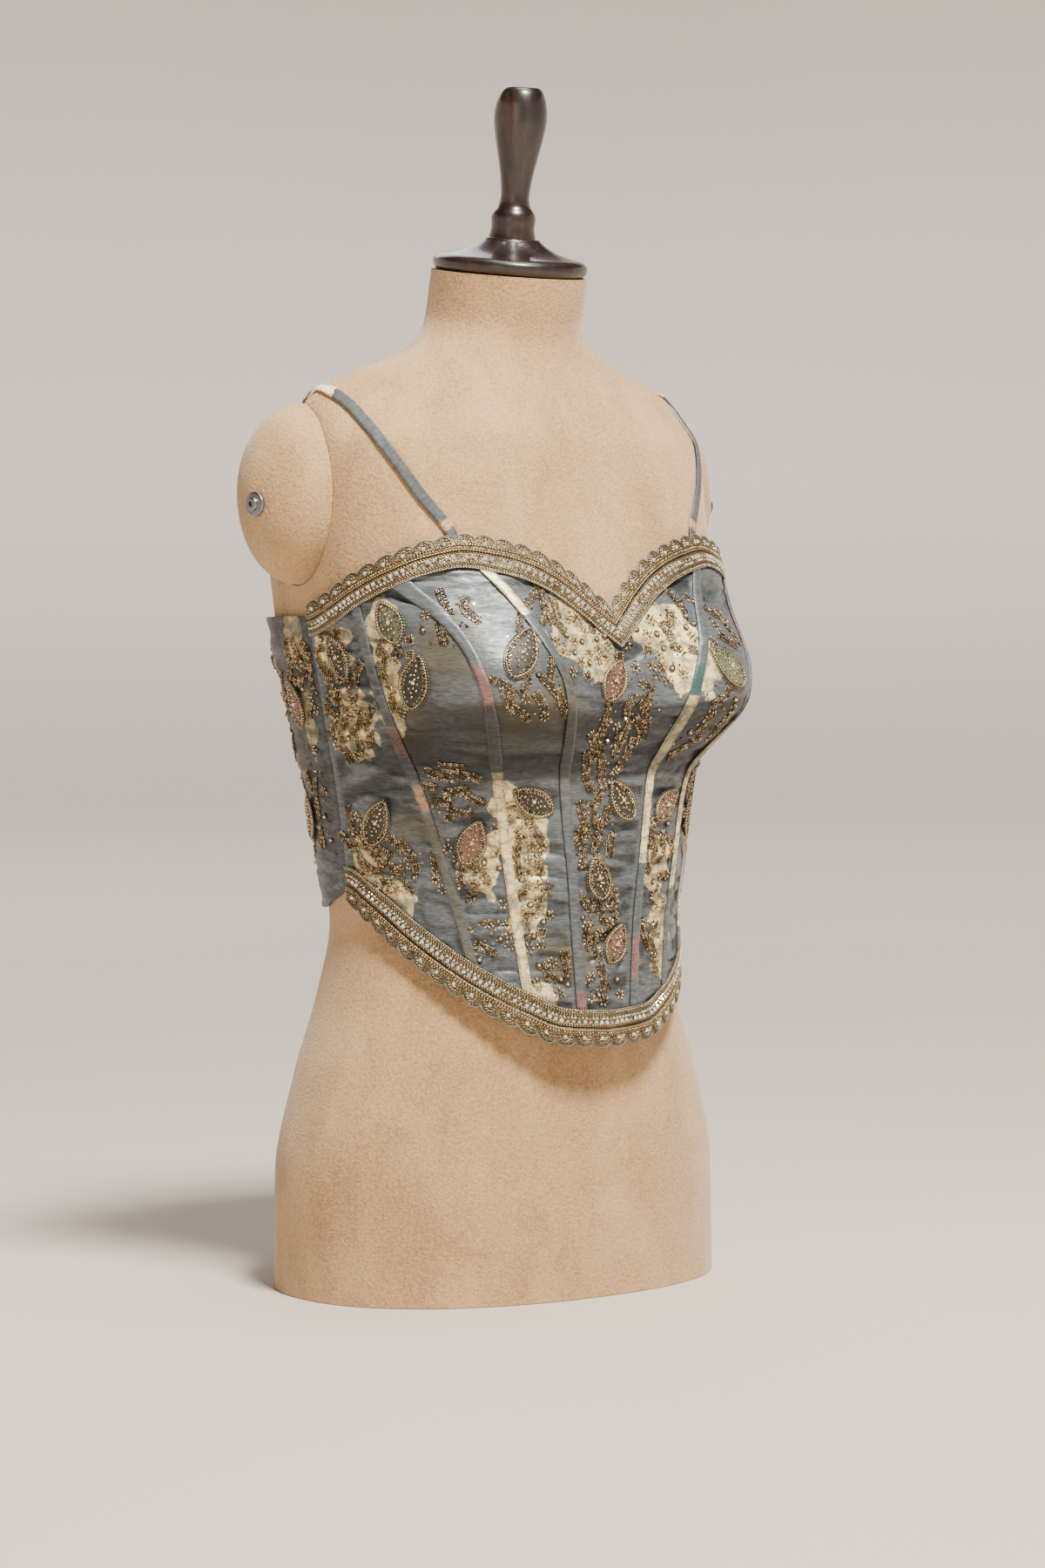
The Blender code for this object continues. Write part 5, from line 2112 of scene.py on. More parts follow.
    def braid(self, node: str) -> None:
        """Makes the braid: cords, two rows of stones with zigzags and a row of small beads.

        Args:
            node: The CAD node.
        """
        wardrobe, border = self.wardrobe, self.border
        wide = border.braid_in - border.braid_out
        piece = PieceMesh(f"jewelled_{node}")
        along = np.linspace(-self.half, self.half, self.count * self.steps + 1)
        full = np.ones(along.shape)
        ground = self.ground(node, full * border.braid_out, full * border.braid_in, along)
        for number, share in enumerate(self.BRAID_CORDS):
            finish = wardrobe.gold if number in (1, 4) else wardrobe.dull_gold
            self.line(piece, border.braid_out + share * wide, self.cord, finish)
        stones, glints, beads = BeadLot(), BeadLot(), BeadLot()
        for row, share in enumerate(self.STONE_ROWS):
            size = self.stone * self.ROW_SIZES[row]
            pitch = size * self.stone_gap
            spots = np.arange(-self.half + pitch * (1 + row) / 2, self.half - pitch / 2, pitch)
            inset = np.full(spots.shape, border.braid_out + share * wide)
            clear = np.random.default_rng(row + len(node)).random(spots.shape) > self.GLINT_SHARE
            self.sew_on(stones, spots[clear], inset[clear], size)
            self.sew_on(glints, spots[~clear], inset[~clear], size * 0.9)
            zig = np.arange(-self.half + self.cord, self.half, pitch / 2)
            swing = np.where(np.arange(len(zig)) % 2, self.ZIGZAG, -self.ZIGZAG) * wide
            middle = (sum(self.STONE_ROWS) / 2 if row else self.FIRST_ZIGZAG) * wide + border.braid_out
            path = self.place(zig, middle + swing, LAYER_GAP + self.ground_wall + 0.8 * self.cord)
            piece.tube(path, self.normals(zig), self.cord * 0.6, wardrobe.silver, 4)
        spots = np.arange(-self.half + self.bead, self.half, self.bead * 1.35)
        self.sew_on(beads, spots, np.full(spots.shape, border.braid_out + self.BEAD_ROW * wide), self.bead)
        self.box.sew(piece, BeadShape.STONE, stones, wardrobe.stone)
        self.box.sew(piece, BeadShape.STONE, glints, wardrobe.amber)
        self.box.sew(piece, BeadShape.BEAD, beads, wardrobe.silver_bead, smooth=True)
        self.declare(piece)

    def declare(self, piece: PieceMesh) -> None:
        """Args:
            piece: The jewels and cords.
        """
        jewels = piece.make()
        seat(jewels, Slot.BORDER)

    def build(self) -> None:
        """Makes both rows."""
        self.lace(f"{self.name}_lace")
        self.braid(f"{self.name}_braid")


class Ground:
    """The crushed cloth as embroidery meets it: its relief and its room between seams."""

    def __init__(self, garment: Garment, relief: Relief) -> None:
        """Keeps the garment and its relief.

        Args:
            garment: The blouse's surface.
            relief: The folds on it.
        """
        self.garment, self.relief = garment, relief

    def seam_distance(self, angle: Array, height: Array) -> Array:
        """Metres from places to the nearest seam.

        Args:
            angle: Angles from centre front.
            height: Heights.

        Returns:
            The distances.
        """
        rise = np.clip(self.garment.rise(angle, height), 0.0, 1.0)
        names = ("inner", "cup", "outer", "side", "back")
        spans = [np.abs(np.abs(angle) - self.garment.seam_columns[name](rise)) for name in names]
        return np.radians(np.min(spans, axis=0)) * MEAN_RADIUS

    def edge_distance(self, angle: Array, height: Array) -> Array:
        """Metres from places to the nearer edge, straight up or down."""
        around = np.abs(angle)
        return np.minimum(self.garment.neck(around) - height, height - self.garment.hem(around))

    def point(self, angle: Array, height: Array, lift: float | Array) -> Array:
        """Points a height above the crushed cloth.

        Args:
            angle: Angles from centre front.
            height: Heights.
            lift: Metres above the cloth.

        Returns:
            The points.
        """
        room = ease(self.seam_distance(angle, height), SEAM_LOW, SEAM_HIGH)
        out = self.relief.settled(self.relief.depth(angle, height), room)
        return self.garment.girth.lifted(angle, height, out + lift)

    def spread(
        self, angle: float, height: float, turn: float, across: Array, along: Array, lift: float | Array
    ) -> tuple[Array, Array, Array]:
        """Points about a spot with their directions.

        Args:
            angle: The spot's angle.
            height: The spot's height.
            turn: Degrees by which its up direction leans towards rising angle.
            across: Metres across.
            along: Metres along.
            lift: Height above the cloth.

        Returns:
            The points, the local up directions and the directions out.
        """
        angles, heights = self.garment.on_cloth(angle, height, turn, across, along)
        sideways, upwards, normal = self.garment.girth.axes(angles, heights)
        lean = math.radians(turn)
        ahead = upwards * math.cos(lean) + sideways * math.sin(lean)
        return self.point(angles, heights, lift), ahead, normal


class LeafKind(Enum):
    """How a leaf is filled."""

    GREEN = "green"
    PINK = "pink"
    NET = "net"


@dataclass(frozen=True)
class Leaf:
    """One raised leaf: where its middle lies, its length, its lean and its fill."""

    angle: float
    height: float
    length: float
    turn: float
    kind: LeafKind


LEAVES = (
    Leaf(4.0, 0.428, 0.030, -35.0, LeafKind.PINK),
    Leaf(-5.0, 0.345, 0.031, 35.0, LeafKind.NET),
    Leaf(4.0, 0.292, 0.029, 15.0, LeafKind.NET),
    Leaf(-3.0, 0.246, 0.028, -25.0, LeafKind.PINK),
    Leaf(31.0, 0.448, 0.034, -25.0, LeafKind.NET),
    Leaf(26.0, 0.346, 0.030, 62.0, LeafKind.NET),
    Leaf(62.5, 0.468, 0.030, 30.0, LeafKind.GREEN),
    Leaf(56.0, 0.428, 0.036, -15.0, LeafKind.NET),
    Leaf(44.0, 0.318, 0.030, -20.0, LeafKind.PINK),
    Leaf(80.0, 0.444, 0.031, 25.0, LeafKind.NET),
    Leaf(74.0, 0.330, 0.034, -30.0, LeafKind.NET),
    Leaf(104.0, 0.410, 0.033, 15.0, LeafKind.PINK),
    Leaf(112.0, 0.330, 0.032, -20.0, LeafKind.NET),
    Leaf(-29.0, 0.436, 0.033, 40.0, LeafKind.GREEN),
    Leaf(-25.5, 0.340, 0.030, -55.0, LeafKind.PINK),
    Leaf(-53.0, 0.448, 0.035, -20.0, LeafKind.NET),
    Leaf(-45.0, 0.330, 0.030, 20.0, LeafKind.GREEN),
    Leaf(-80.0, 0.420, 0.033, -25.0, LeafKind.NET),
    Leaf(-72.0, 0.312, 0.032, 25.0, LeafKind.PINK),
    Leaf(-106.0, 0.428, 0.033, -15.0, LeafKind.NET),
    Leaf(-113.0, 0.345, 0.031, 30.0, LeafKind.GREEN),
)


@dataclass
class LeafWork:
    """The raised leaves: a domed fill, a cord outline, edge loops and beads down the middle."""

    garment: Garment
    box: SewingBox
    wardrobe: Wardrobe
    slimness: float = 0.54
    belly: float = 0.85
    fullness: float = 0.8
    tip: float = 0.0008
    wall: float = 0.0007
    rows: int = 26
    columns: int = 12
    cord: float = 0.00048
    loop: Triple = (0.0036, 0.0026, 0.0042)
    loop_inset: float = 0.0019
    bead: float = 0.0023
    rib_swing: float = 0.0006
    side_share: float = 0.085
    stone: Triple = (0.0030, 0.0030, 0.0024)
    stone_lift: float = 0.0008

    rim_lift: float = 0.0007
    foot_lift: float = 0.0003
    foot_size: tuple[float, float] = (1.16, 1.07)
    grain_rise: float = 0.00015
    rim_steps: int = 30

    RIGHT = (1.0, 0.0, 0.0)
    LOOPS = {False: (0.10, 0.90, 8), True: (0.10, 0.90, 11)}
    RIB = {False: (0.22, 0.82, 6), True: (0.22, 0.82, 8)}
    SIDE_RIB = (0.36, 0.62, 3)

    def half(self, length: float, share: Array) -> Array:
        """The leaf's half width at a share of its length."""
        belly = np.sin(math.pi * np.clip(share, 0.0, 1.0) ** self.belly)
        return length * self.slimness / 2 * np.maximum(belly, 0.0) ** self.fullness + self.tip

    def spots(
        self, leaf: Leaf, across: Array, along: Array, lift: float | Array
    ) -> tuple[Array, Array]:
        """Points of one leaf above the smooth cloth, and the directions out of it.

        Args:
            leaf: The leaf.
            across: Metres across it.
            along: Metres along it.
            lift: Metres above the cloth.

        Returns:
            The points and the directions.
        """
        angle, height = self.garment.on_cloth(leaf.angle, leaf.height, leaf.turn, across, along)
        girth = self.garment.girth
        return girth.lifted(angle, height, lift), girth.axes(angle, height)[2]

    def make(self, number: int, leaf: Leaf) -> None:
        """Makes one leaf.

        Args:
            number: Its number, from 1.
            leaf: The leaf.
        """
        wardrobe, node = self.wardrobe, f"leaf_{number:02d}"
        fill = {
            LeafKind.GREEN: wardrobe.green_leaf,
            LeafKind.PINK: wardrobe.pink_leaf,
            LeafKind.NET: wardrobe.net_leaf,
        }[leaf.kind]
        piece = PieceMesh(f"bead_{node}")
        share = np.linspace(0.0, 1.0, self.rows + 1)[:, None]
        beside = np.linspace(-1.0, 1.0, self.columns + 1)[None, :]
        across = self.half(leaf.length, share) * beside
        along = np.broadcast_to((share - 0.5) * leaf.length, across.shape)
        dome = (1 - beside**2) * np.sin(math.pi * np.clip(share, 0.03, 0.97)) ** 0.5
        grain = SoftNoise(number)(share * 14 + np.abs(beside) * 4, beside * 2)
        lift = LAYER_GAP + self.foot_lift + (self.wall - 2 * TUCK) * dome + self.grain_rise * grain
        outer = self.spots(leaf, across, along, lift)[0]
        inner = self.spots(leaf, across, along, LAYER_GAP - TUCK)[0]
        piece.shell(outer, inner, fill, np.stack([across, along], -1))
        rise = np.linspace(0.0, 1.0, self.rim_steps)
        rim = np.concatenate([self.half(leaf.length, rise), -self.half(leaf.length, rise)[::-1]])
        level = (np.concatenate([rise, rise[::-1]]) - 0.5) * leaf.length
        path, normal = self.spots(leaf, rim, level, LAYER_GAP + self.rim_lift)
        piece.tube(path, normal, self.cord, wardrobe.gold, 6, closed=True)
        wide, tall = self.foot_size
        path, normal = self.spots(leaf, rim * wide, level * tall, LAYER_GAP + self.foot_lift)
        piece.tube(path, normal, self.cord * 0.7, wardrobe.dull_gold, 5, closed=True)
        loops, beads, stones = BeadLot(), BeadLot(), BeadLot()
        net = leaf.kind is LeafKind.NET
        ring = np.linspace(*self.LOOPS[net])
        level, top = (ring - 0.5) * leaf.length, LAYER_GAP + self.wall
        for side in (-1, 1):
            edge = side * (self.half(leaf.length, ring) - self.loop_inset)
            spots, normal = self.spots(leaf, edge, level, top)
            outward = self.spots(leaf, edge + side * SMALL_STEP, level, top)[0]
            loops.put(spots, outward - spots, normal, self.loop)
        rib = np.linspace(*self.RIB[net])
        swing = self.rib_swing * np.cos(rib * 40)
        spots, normal = self.spots(leaf, swing, (rib - 0.5) * leaf.length, top)
        beads.put(spots, self.RIGHT, normal, grey(self.bead))
        rib = np.linspace(*self.SIDE_RIB)
        for side in (-1, 1):
            beside = np.full(rib.shape, side * leaf.length * self.side_share)
            spots, normal = self.spots(leaf, beside, (rib - 0.5) * leaf.length, top)
            beads.put(spots, self.RIGHT, normal, grey(self.bead * 0.85))
        spots, normal = self.spots(leaf, np.zeros(1), np.zeros(1), top + self.stone_lift)
        stones.put(spots, self.RIGHT, normal, self.stone)
        self.box.sew(piece, BeadShape.LOOP, loops, wardrobe.thread, smooth=True)
        self.box.sew(piece, BeadShape.BEAD, beads, wardrobe.bead, smooth=True)
        self.box.sew(piece, BeadShape.STONE, stones, wardrobe.stone)
        seat(piece.make(), Slot.LEAF, node)

    def build(self) -> None:
        """Makes every leaf."""
        for number, leaf in enumerate(LEAVES, start=1):
            self.make(number, leaf)


@dataclass(frozen=True)
class Zone:
    """An oval area of embroidery and how many of each motif it holds."""

    angle: float
    height: float
    half_angle: float
    half_height: float
    flowers: int
    squares: int
    rings: int
    sprays: int
    lean: float = 0.0


ZONES = (
    Zone(12.0, 0.452, 13.0, 0.022, 13, 3, 5, 1, 20.0),
    Zone(-14.0, 0.448, 12.0, 0.026, 12, 2, 5, 2, -20.0),
    Zone(-1.0, 0.405, 9.0, 0.024, 3, 1, 3, 8, 0.0),
    Zone(3.0, 0.372, 7.0, 0.026, 1, 0, 2, 8, 5.0),
    Zone(5.0, 0.318, 7.0, 0.030, 2, 0, 1, 9, -4.0),
    Zone(3.0, 0.262, 7.0, 0.026, 3, 0, 2, 6, 8.0),
    Zone(3.0, 0.216, 9.0, 0.012, 4, 0, 2, 1, 60.0),
    Zone(24.0, 0.462, 10.0, 0.026, 1, 0, 2, 9, -25.0),
    Zone(27.0, 0.424, 8.0, 0.020, 2, 0, 2, 8, 30.0),
    Zone(48.0, 0.470, 7.0, 0.016, 1, 0, 2, 3, 40.0),
    Zone(63.0, 0.438, 7.0, 0.034, 14, 2, 6, 5, 10.0),
    Zone(84.0, 0.434, 10.0, 0.030, 16, 2, 6, 16, 5.0),
    Zone(80.0, 0.395, 8.0, 0.020, 10, 1, 4, 8, -10.0),
    Zone(50.0, 0.352, 8.0, 0.018, 3, 1, 3, 9, 65.0),
    Zone(30.0, 0.318, 8.0, 0.026, 12, 0, 3, 4, 0.0),
    Zone(28.0, 0.268, 8.0, 0.026, 11, 1, 3, 3, 0.0),
    Zone(48.0, 0.300, 8.0, 0.020, 7, 1, 3, 4, 10.0),
    Zone(20.0, 0.224, 10.0, 0.012, 3, 0, 3, 2, 50.0),
    Zone(40.0, 0.250, 6.0, 0.014, 2, 0, 2, 1, 40.0),
    Zone(72.0, 0.302, 12.0, 0.020, 11, 2, 4, 8, 50.0),
    Zone(84.0, 0.322, 8.0, 0.014, 3, 0, 2, 2, 30.0),
    Zone(98.0, 0.428, 7.0, 0.030, 6, 1, 4, 4, -15.0),
    Zone(100.0, 0.340, 8.0, 0.040, 2, 0, 3, 4, 0.0),
    Zone(-30.0, 0.468, 10.0, 0.020, 3, 1, 3, 4, 25.0),
    Zone(-24.0, 0.400, 8.0, 0.024, 1, 0, 2, 4, 0.0),
    Zone(-24.0, 0.310, 8.0, 0.030, 5, 1, 3, 4, 0.0),
    Zone(-24.0, 0.252, 8.0, 0.026, 4, 1, 2, 3, 0.0),
    Zone(-58.0, 0.440, 12.0, 0.034, 7, 2, 5, 6, 0.0),
    Zone(-50.0, 0.340, 12.0, 0.028, 4, 1, 3, 5, -40.0),
    Zone(-80.0, 0.420, 10.0, 0.040, 7, 2, 5, 6, 0.0),
    Zone(-76.0, 0.320, 12.0, 0.030, 6, 1, 3, 5, -30.0),
    Zone(-104.0, 0.410, 12.0, 0.040, 6, 2, 4, 5, 0.0),
    Zone(-110.0, 0.320, 14.0, 0.036, 5, 1, 3, 5, 0.0),
    Zone(-140.0, 0.420, 16.0, 0.036, 6, 2, 4, 5, 0.0),
    Zone(-145.0, 0.320, 18.0, 0.038, 6, 1, 4, 5, 0.0),
    Zone(124.0, 0.410, 14.0, 0.040, 6, 2, 4, 5, 0.0),
    Zone(126.0, 0.320, 14.0, 0.036, 5, 1, 3, 5, 0.0),
    Zone(156.0, 0.410, 14.0, 0.036, 5, 1, 3, 4, 0.0),
    Zone(154.0, 0.318, 16.0, 0.038, 5, 1, 3, 4, 0.0),
)


@dataclass
class Embroidery:
    """Bead flowers, thread squares, ringed stones, coil sprays and loose sequins."""

    ground: Ground
    box: SewingBox
    wardrobe: Wardrobe
    seed: int = 41
    tries: int = 60
    edge_room: float = 0.0175
    seam_room: float = 0.0062
    sequins: int = 30
    stem: float = 0.00042
    flower_lift: float = 0.0007
    spray_lift: float = 0.0006
    shoot_lean: float = 38.0
    shoot_reach: float = 0.0024
    shoot_loop: Triple = (0.0034, 0.0023, 0.0030)
    shoot_beads: tuple[tuple[str, float], ...] = (("bead", 0.0013), ("dark", 0.0014))
    bright_share: float = 0.55
    tip_bead: Triple = (0.0024, 0.0015, 0.0015)
    petal_reach: float = 0.0026
    petal: Triple = (0.0030, 0.0017, 0.0015)
    flower_middle: Triple = (0.0021, 0.0021, 0.0018)
    knot: Triple = (0.0012, 0.0012, 0.0010)
    square_half: float = 0.0028
    square_lift: float = 0.0005
    thread_ring: Triple = (0.0056, 0.0046, 0.0040)
    ring_stone: Triple = (0.0022, 0.0022, 0.0017)
    spray_room: float = 0.0052
    square_room: float = 0.0034
    flower_room: float = 0.0034
    ring_room: float = 0.0028
    scatter_lift: float = 0.0004
    scatter_room: float = 0.0050
    loose_sequin: Triple = (0.0015, 0.0015, 0.0003)
    loose_coil: Triple = (0.0007, 0.0007, 0.0024)

    def __post_init__(self) -> None:
        """Starts the layout with the leaves already on the cloth."""
        self.draw = np.random.default_rng(self.seed)
        self.taken = [(leaf.angle, leaf.height, leaf.length * 0.40) for leaf in LEAVES]

    def free(self, angle: float, height: float, reach: float) -> bool:
        """Whether a spot has room of its own on the cloth.

        Args:
            angle: The middle's angle.
            height: Its height.
            reach: The motif's radius.

        Returns:
            True where nothing is in its way.
        """
        if self.ground.edge_distance(angle, height) < self.edge_room + reach * 0.5:
            return False
        if self.ground.seam_distance(angle, height) < min(self.seam_room, reach + 0.0042):
            return False
        for other, level, wide in self.taken:
            gap = math.hypot(math.radians(angle - other) * MEAN_RADIUS, height - level)
            if gap < wide + reach:
                return False
        return True

    def spots(self, zone: Zone, count: int, reach: float) -> list[tuple[float, float]]:
        """Finds places for some motifs of one zone.

        Args:
            zone: The zone.
            count: How many motifs are wanted.
            reach: The motif's radius.

        Returns:
            Angle and height of each place found.
        """
        found = []
        for _ in range(count):
            for _ in range(self.tries):
                turn, far = self.draw.uniform(0, 2 * math.pi), math.sqrt(self.draw.uniform())
                angle = zone.angle + zone.half_angle * far * math.cos(turn)
                height = zone.height + zone.half_height * far * math.sin(turn)
                if self.free(angle, height, reach):
                    found.append((angle, height))
                    self.taken.append((angle, height, reach))
                    break
        return found

    def build(self) -> None:
        """Sews each zone as a piece of its own side."""
        sides = (
            ("embroidery_front", lambda zone: abs(zone.angle) < 40),
            ("embroidery_right", lambda zone: 40 <= zone.angle < 115),
            ("embroidery_left", lambda zone: -115 < zone.angle <= -40),
            ("embroidery_back", lambda zone: abs(zone.angle) >= 115),
        )
        for name, holds in sides:
            lots = {key: BeadLot() for key in ("stone", "bead", "dark", "sequin", "loop", "coil", "ring")}
            piece = PieceMesh(name)
            for zone in filter(holds, ZONES):
                for angle, height in self.spots(zone, zone.sprays, self.spray_room):
                    self.spray(piece, lots, angle, height, zone.lean + self.draw.uniform(-40, 40))
                for angle, height in self.spots(zone, zone.squares, self.square_room):
                    self.square(piece, lots, angle, height, self.draw.uniform(-30, 30))
                for angle, height in self.spots(zone, zone.flowers, self.flower_room):
                    self.flower(lots, angle, height, self.draw.uniform(0, 60))
                for angle, height in self.spots(zone, zone.rings, self.ring_room):
                    self.ring(lots, angle, height, self.draw.uniform(0, 180))
                self.scatter(lots, zone)
            wardrobe, sew = self.wardrobe, self.box.sew
            sew(piece, BeadShape.STONE, lots["stone"], wardrobe.stone)
            sew(piece, BeadShape.BEAD, lots["bead"], wardrobe.bead, smooth=True)
            sew(piece, BeadShape.BEAD, lots["dark"], wardrobe.dark_bead, smooth=True)
            sew(piece, BeadShape.SEQUIN, lots["sequin"], wardrobe.sequin)
            sew(piece, BeadShape.LOOP, lots["loop"], wardrobe.thread, smooth=True)
            sew(piece, BeadShape.LOOP, lots["ring"], wardrobe.antique, smooth=True)
            sew(piece, BeadShape.STITCH, lots["coil"], wardrobe.antique, smooth=True)
            seat(piece.make(), Slot.BORDER)

    def flower(self, lots: dict[str, BeadLot], angle: float, height: float, turn: float) -> None:
        """A flower: six oval beads about a stone.

        Args:
            lots: Where its beads are gathered.
            angle: The middle's angle.
            height: Its height.
            turn: How far it is turned, in degrees.
        """
        petals = np.radians(turn + np.arange(6) * 60.0)
        far = self.petal_reach * self.draw.uniform(0.9, 1.15)
        across, along = far * np.cos(petals), far * np.sin(petals)
        spots, _, normal = self.ground.spread(angle, height, 0.0, across, along, self.flower_lift)
        middle = self.ground.spread(angle, height, 0.0, np.zeros(1), np.zeros(1), self.flower_lift)
        lots["bead"].put(spots, spots - middle[0], normal, self.petal)
        lots["dark"].put(*middle, self.flower_middle)

    def square(
        self, piece: PieceMesh, lots: dict[str, BeadLot], angle: float, height: float, turn: float
    ) -> None:
        """A square of close knots inside a cord.

        Args:
            piece: What its cord is added to.
            lots: Where its beads are gathered.
            angle: The middle's angle.
            height: Its height.
            turn: How far it is turned, in degrees.
        """
        row = np.linspace(-0.0018, 0.0018, 4)
        across, along = (grid.ravel() for grid in np.meshgrid(row, row))
        spots, ahead, normal = self.ground.spread(angle, height, turn, across, along, self.square_lift)
        lots["dark"].put(spots, ahead, normal, self.knot)
        corner = np.array([-1.0, 0.0, 1.0, 1.0, 1.0, 0.0, -1.0, -1.0]) * self.square_half
        side = np.array([-1.0, -1.0, -1.0, 0.0, 1.0, 1.0, 1.0, 0.0]) * self.square_half
        path, _, normal = self.ground.spread(angle, height, turn, corner, side, self.square_lift)
        piece.tube(path, normal, self.stem, self.wardrobe.gold, 5, closed=True)

    def ring(self, lots: dict[str, BeadLot], angle: float, height: float, turn: float) -> None:
        """A stone in a ring of thread.

        Args:
            lots: Where its beads are gathered.
            angle: The middle's angle.
            height: Its height.
            turn: How far it is turned, in degrees.
        """
        middle = np.zeros(1)
        spot, ahead, normal = self.ground.spread(angle, height, turn, middle, middle, self.spray_lift)
        lots["ring"].put(spot, ahead, normal, self.thread_ring)
        lots["stone"].put(spot + normal * self.scatter_lift, ahead, normal, self.ring_stone)

    def spray(
        self, piece: PieceMesh, lots: dict[str, BeadLot], angle: float, height: float, turn: float
    ) -> None:
        """A coil spray: a zigzag stem with looped shoots on both sides and beads at their ends.

        Args:
            piece: What its stem is added to.
            lots: Where its beads are gathered.
            angle: The middle's angle.
            height: Its height.
            turn: How far it is turned, in degrees.
        """
        length = self.draw.uniform(0.014, 0.022)
        bend = self.draw.uniform(-18.0, 18.0)
        share = np.linspace(-0.5, 0.5, 15)
        along = share * length
        across = bend * along**2 + 0.0005 * np.where(np.arange(15) % 2, 1, -1)
        path, _, normal = self.ground.spread(angle, height, turn, across, along, self.spray_lift)
        piece.tube(path, normal, self.stem, self.wardrobe.dull_gold, 4)
        for number, at in enumerate(np.arange(-0.44, 0.5, 0.125)):
            for side in (-1, 1):
                lean = math.radians(self.shoot_lean) * side
                root, foot = at * length, bend * (at * length) ** 2
                reach = self.shoot_reach * self.draw.uniform(0.80, 1.20)
                near = foot + side * 0.0006 + reach * math.sin(lean) * 0.8
                beyond = foot + reach * 1.75 * math.sin(lean)
                beside = np.array([near, beyond])
                ends = np.array([root + reach * 0.5, root + reach * 1.35 * math.cos(lean)])
                point, _, out = self.ground.spread(angle, height, turn, beside, ends, self.spray_lift)
                direction = point[1] - point[0]
                bright = self.draw.random() < self.bright_share
                lots["loop" if bright else "ring"].put(point[:1], direction, out[:1], self.shoot_loop)
                kind, size = self.shoot_beads[(number + side) % 2]
                lots[kind].put(point[1:], direction, out[1:], grey(size))
        tip, top = np.array([across[-1]]), np.array([along[-1] + 0.001])
        spot, ahead, normal = self.ground.spread(angle, height, turn, tip, top, self.spray_lift)
        lots["bead"].put(spot, ahead, normal, self.tip_bead)

    def scatter(self, lots: dict[str, BeadLot], zone: Zone) -> None:
        """Loose sequins and short coils between the motifs.

        Args:
            lots: Where its beads are gathered.
            zone: The zone.
        """
        for number in range(self.sequins):
            turn, far = self.draw.uniform(0, 2 * math.pi), math.sqrt(self.draw.uniform())
            angle = zone.angle + zone.half_angle * 1.1 * far * math.cos(turn)
            height = zone.height + zone.half_height * 1.1 * far * math.sin(turn)
            if self.ground.edge_distance(angle, height) < self.edge_room:
                continue
            if self.ground.seam_distance(angle, height) < self.scatter_room:
                continue
            lean = self.draw.uniform(0, 360)
            spot, ahead, normal = self.ground.spread(
                angle, height, lean, np.zeros(1), np.zeros(1), self.scatter_lift
            )
            if number % 2:
                lots["sequin"].put(spot, ahead, normal, self.loose_sequin)
            else:
                lots["coil"].put(spot, normal, ahead, self.loose_coil)


@dataclass(frozen=True)
class Turning:
    """A turned profile: radius and height pairs from the top middle round to the bottom middle."""

    profile: tuple[tuple[float, float], ...]
    sides: int
    fineness: int = 4

    def outline(self) -> list[tuple[float, float]]:
        """The profile with smooth points put in between its own.

        Returns:
            Radius and height of each point.
        """
        radii, heights = np.array(self.profile).T
        chord = run_along(np.array(self.profile))
        runs = [np.linspace(a, b, self.fineness, endpoint=False) for a, b in zip(chord, chord[1:])]
        at = np.concatenate((*runs, [chord[-1]]))
        return list(zip(SmoothColumn(chord, radii)(at), SmoothColumn(chord, heights)(at)))

    def mesh(self, name: str, placed: Matrix) -> bpy.types.Mesh:
        """Turns the profile about Z.

        Args:
            name: The mesh's name.
            placed: What brings it to its place.

        Returns:
            The closed mesh.
        """
        bm = spun(self.outline(), self.sides)
        bmesh.ops.transform(bm, matrix=placed, verts=bm.verts)
        bmesh.ops.recalc_face_normals(bm, faces=bm.faces)
        return mesh_from(bm, name)


FINIAL = Turning(
    (
        (0.0, 0.1050), (0.0098, 0.1050), (0.0130, 0.1036), (0.0158, 0.0990), (0.0180, 0.0905),
        (0.0186, 0.0830), (0.0172, 0.0715), (0.0140, 0.0560), (0.0112, 0.0410), (0.0100, 0.0285),
        (0.0112, 0.0225), (0.0146, 0.0172), (0.0156, 0.0130), (0.0152, 0.0070), (0.0166, 0.0),
        (0.0, 0.0),
    ),
    72,
)
PLATE = Turning(
    (
        (0.0, 0.0245), (0.0190, 0.0245), (0.0204, 0.0230), (0.0250, 0.0196), (0.0330, 0.0156),
        (0.0430, 0.0126), (0.0500, 0.0110), (0.0535, 0.0088), (0.0545, 0.0055), (0.0532, 0.0020),
        (0.0505, 0.0), (0.0, 0.0),
    ),
    96,
)
STUD = Turning(
    (
        (0.0, 0.0036), (0.0016, 0.0036), (0.0019, 0.0052), (0.0035, 0.0052), (0.0046, 0.0042),
        (0.0050, 0.0026), (0.0078, 0.0020), (0.0084, 0.0008), (0.0084, 0.0), (0.0, 0.0),
    ),
    40,
    3,
)


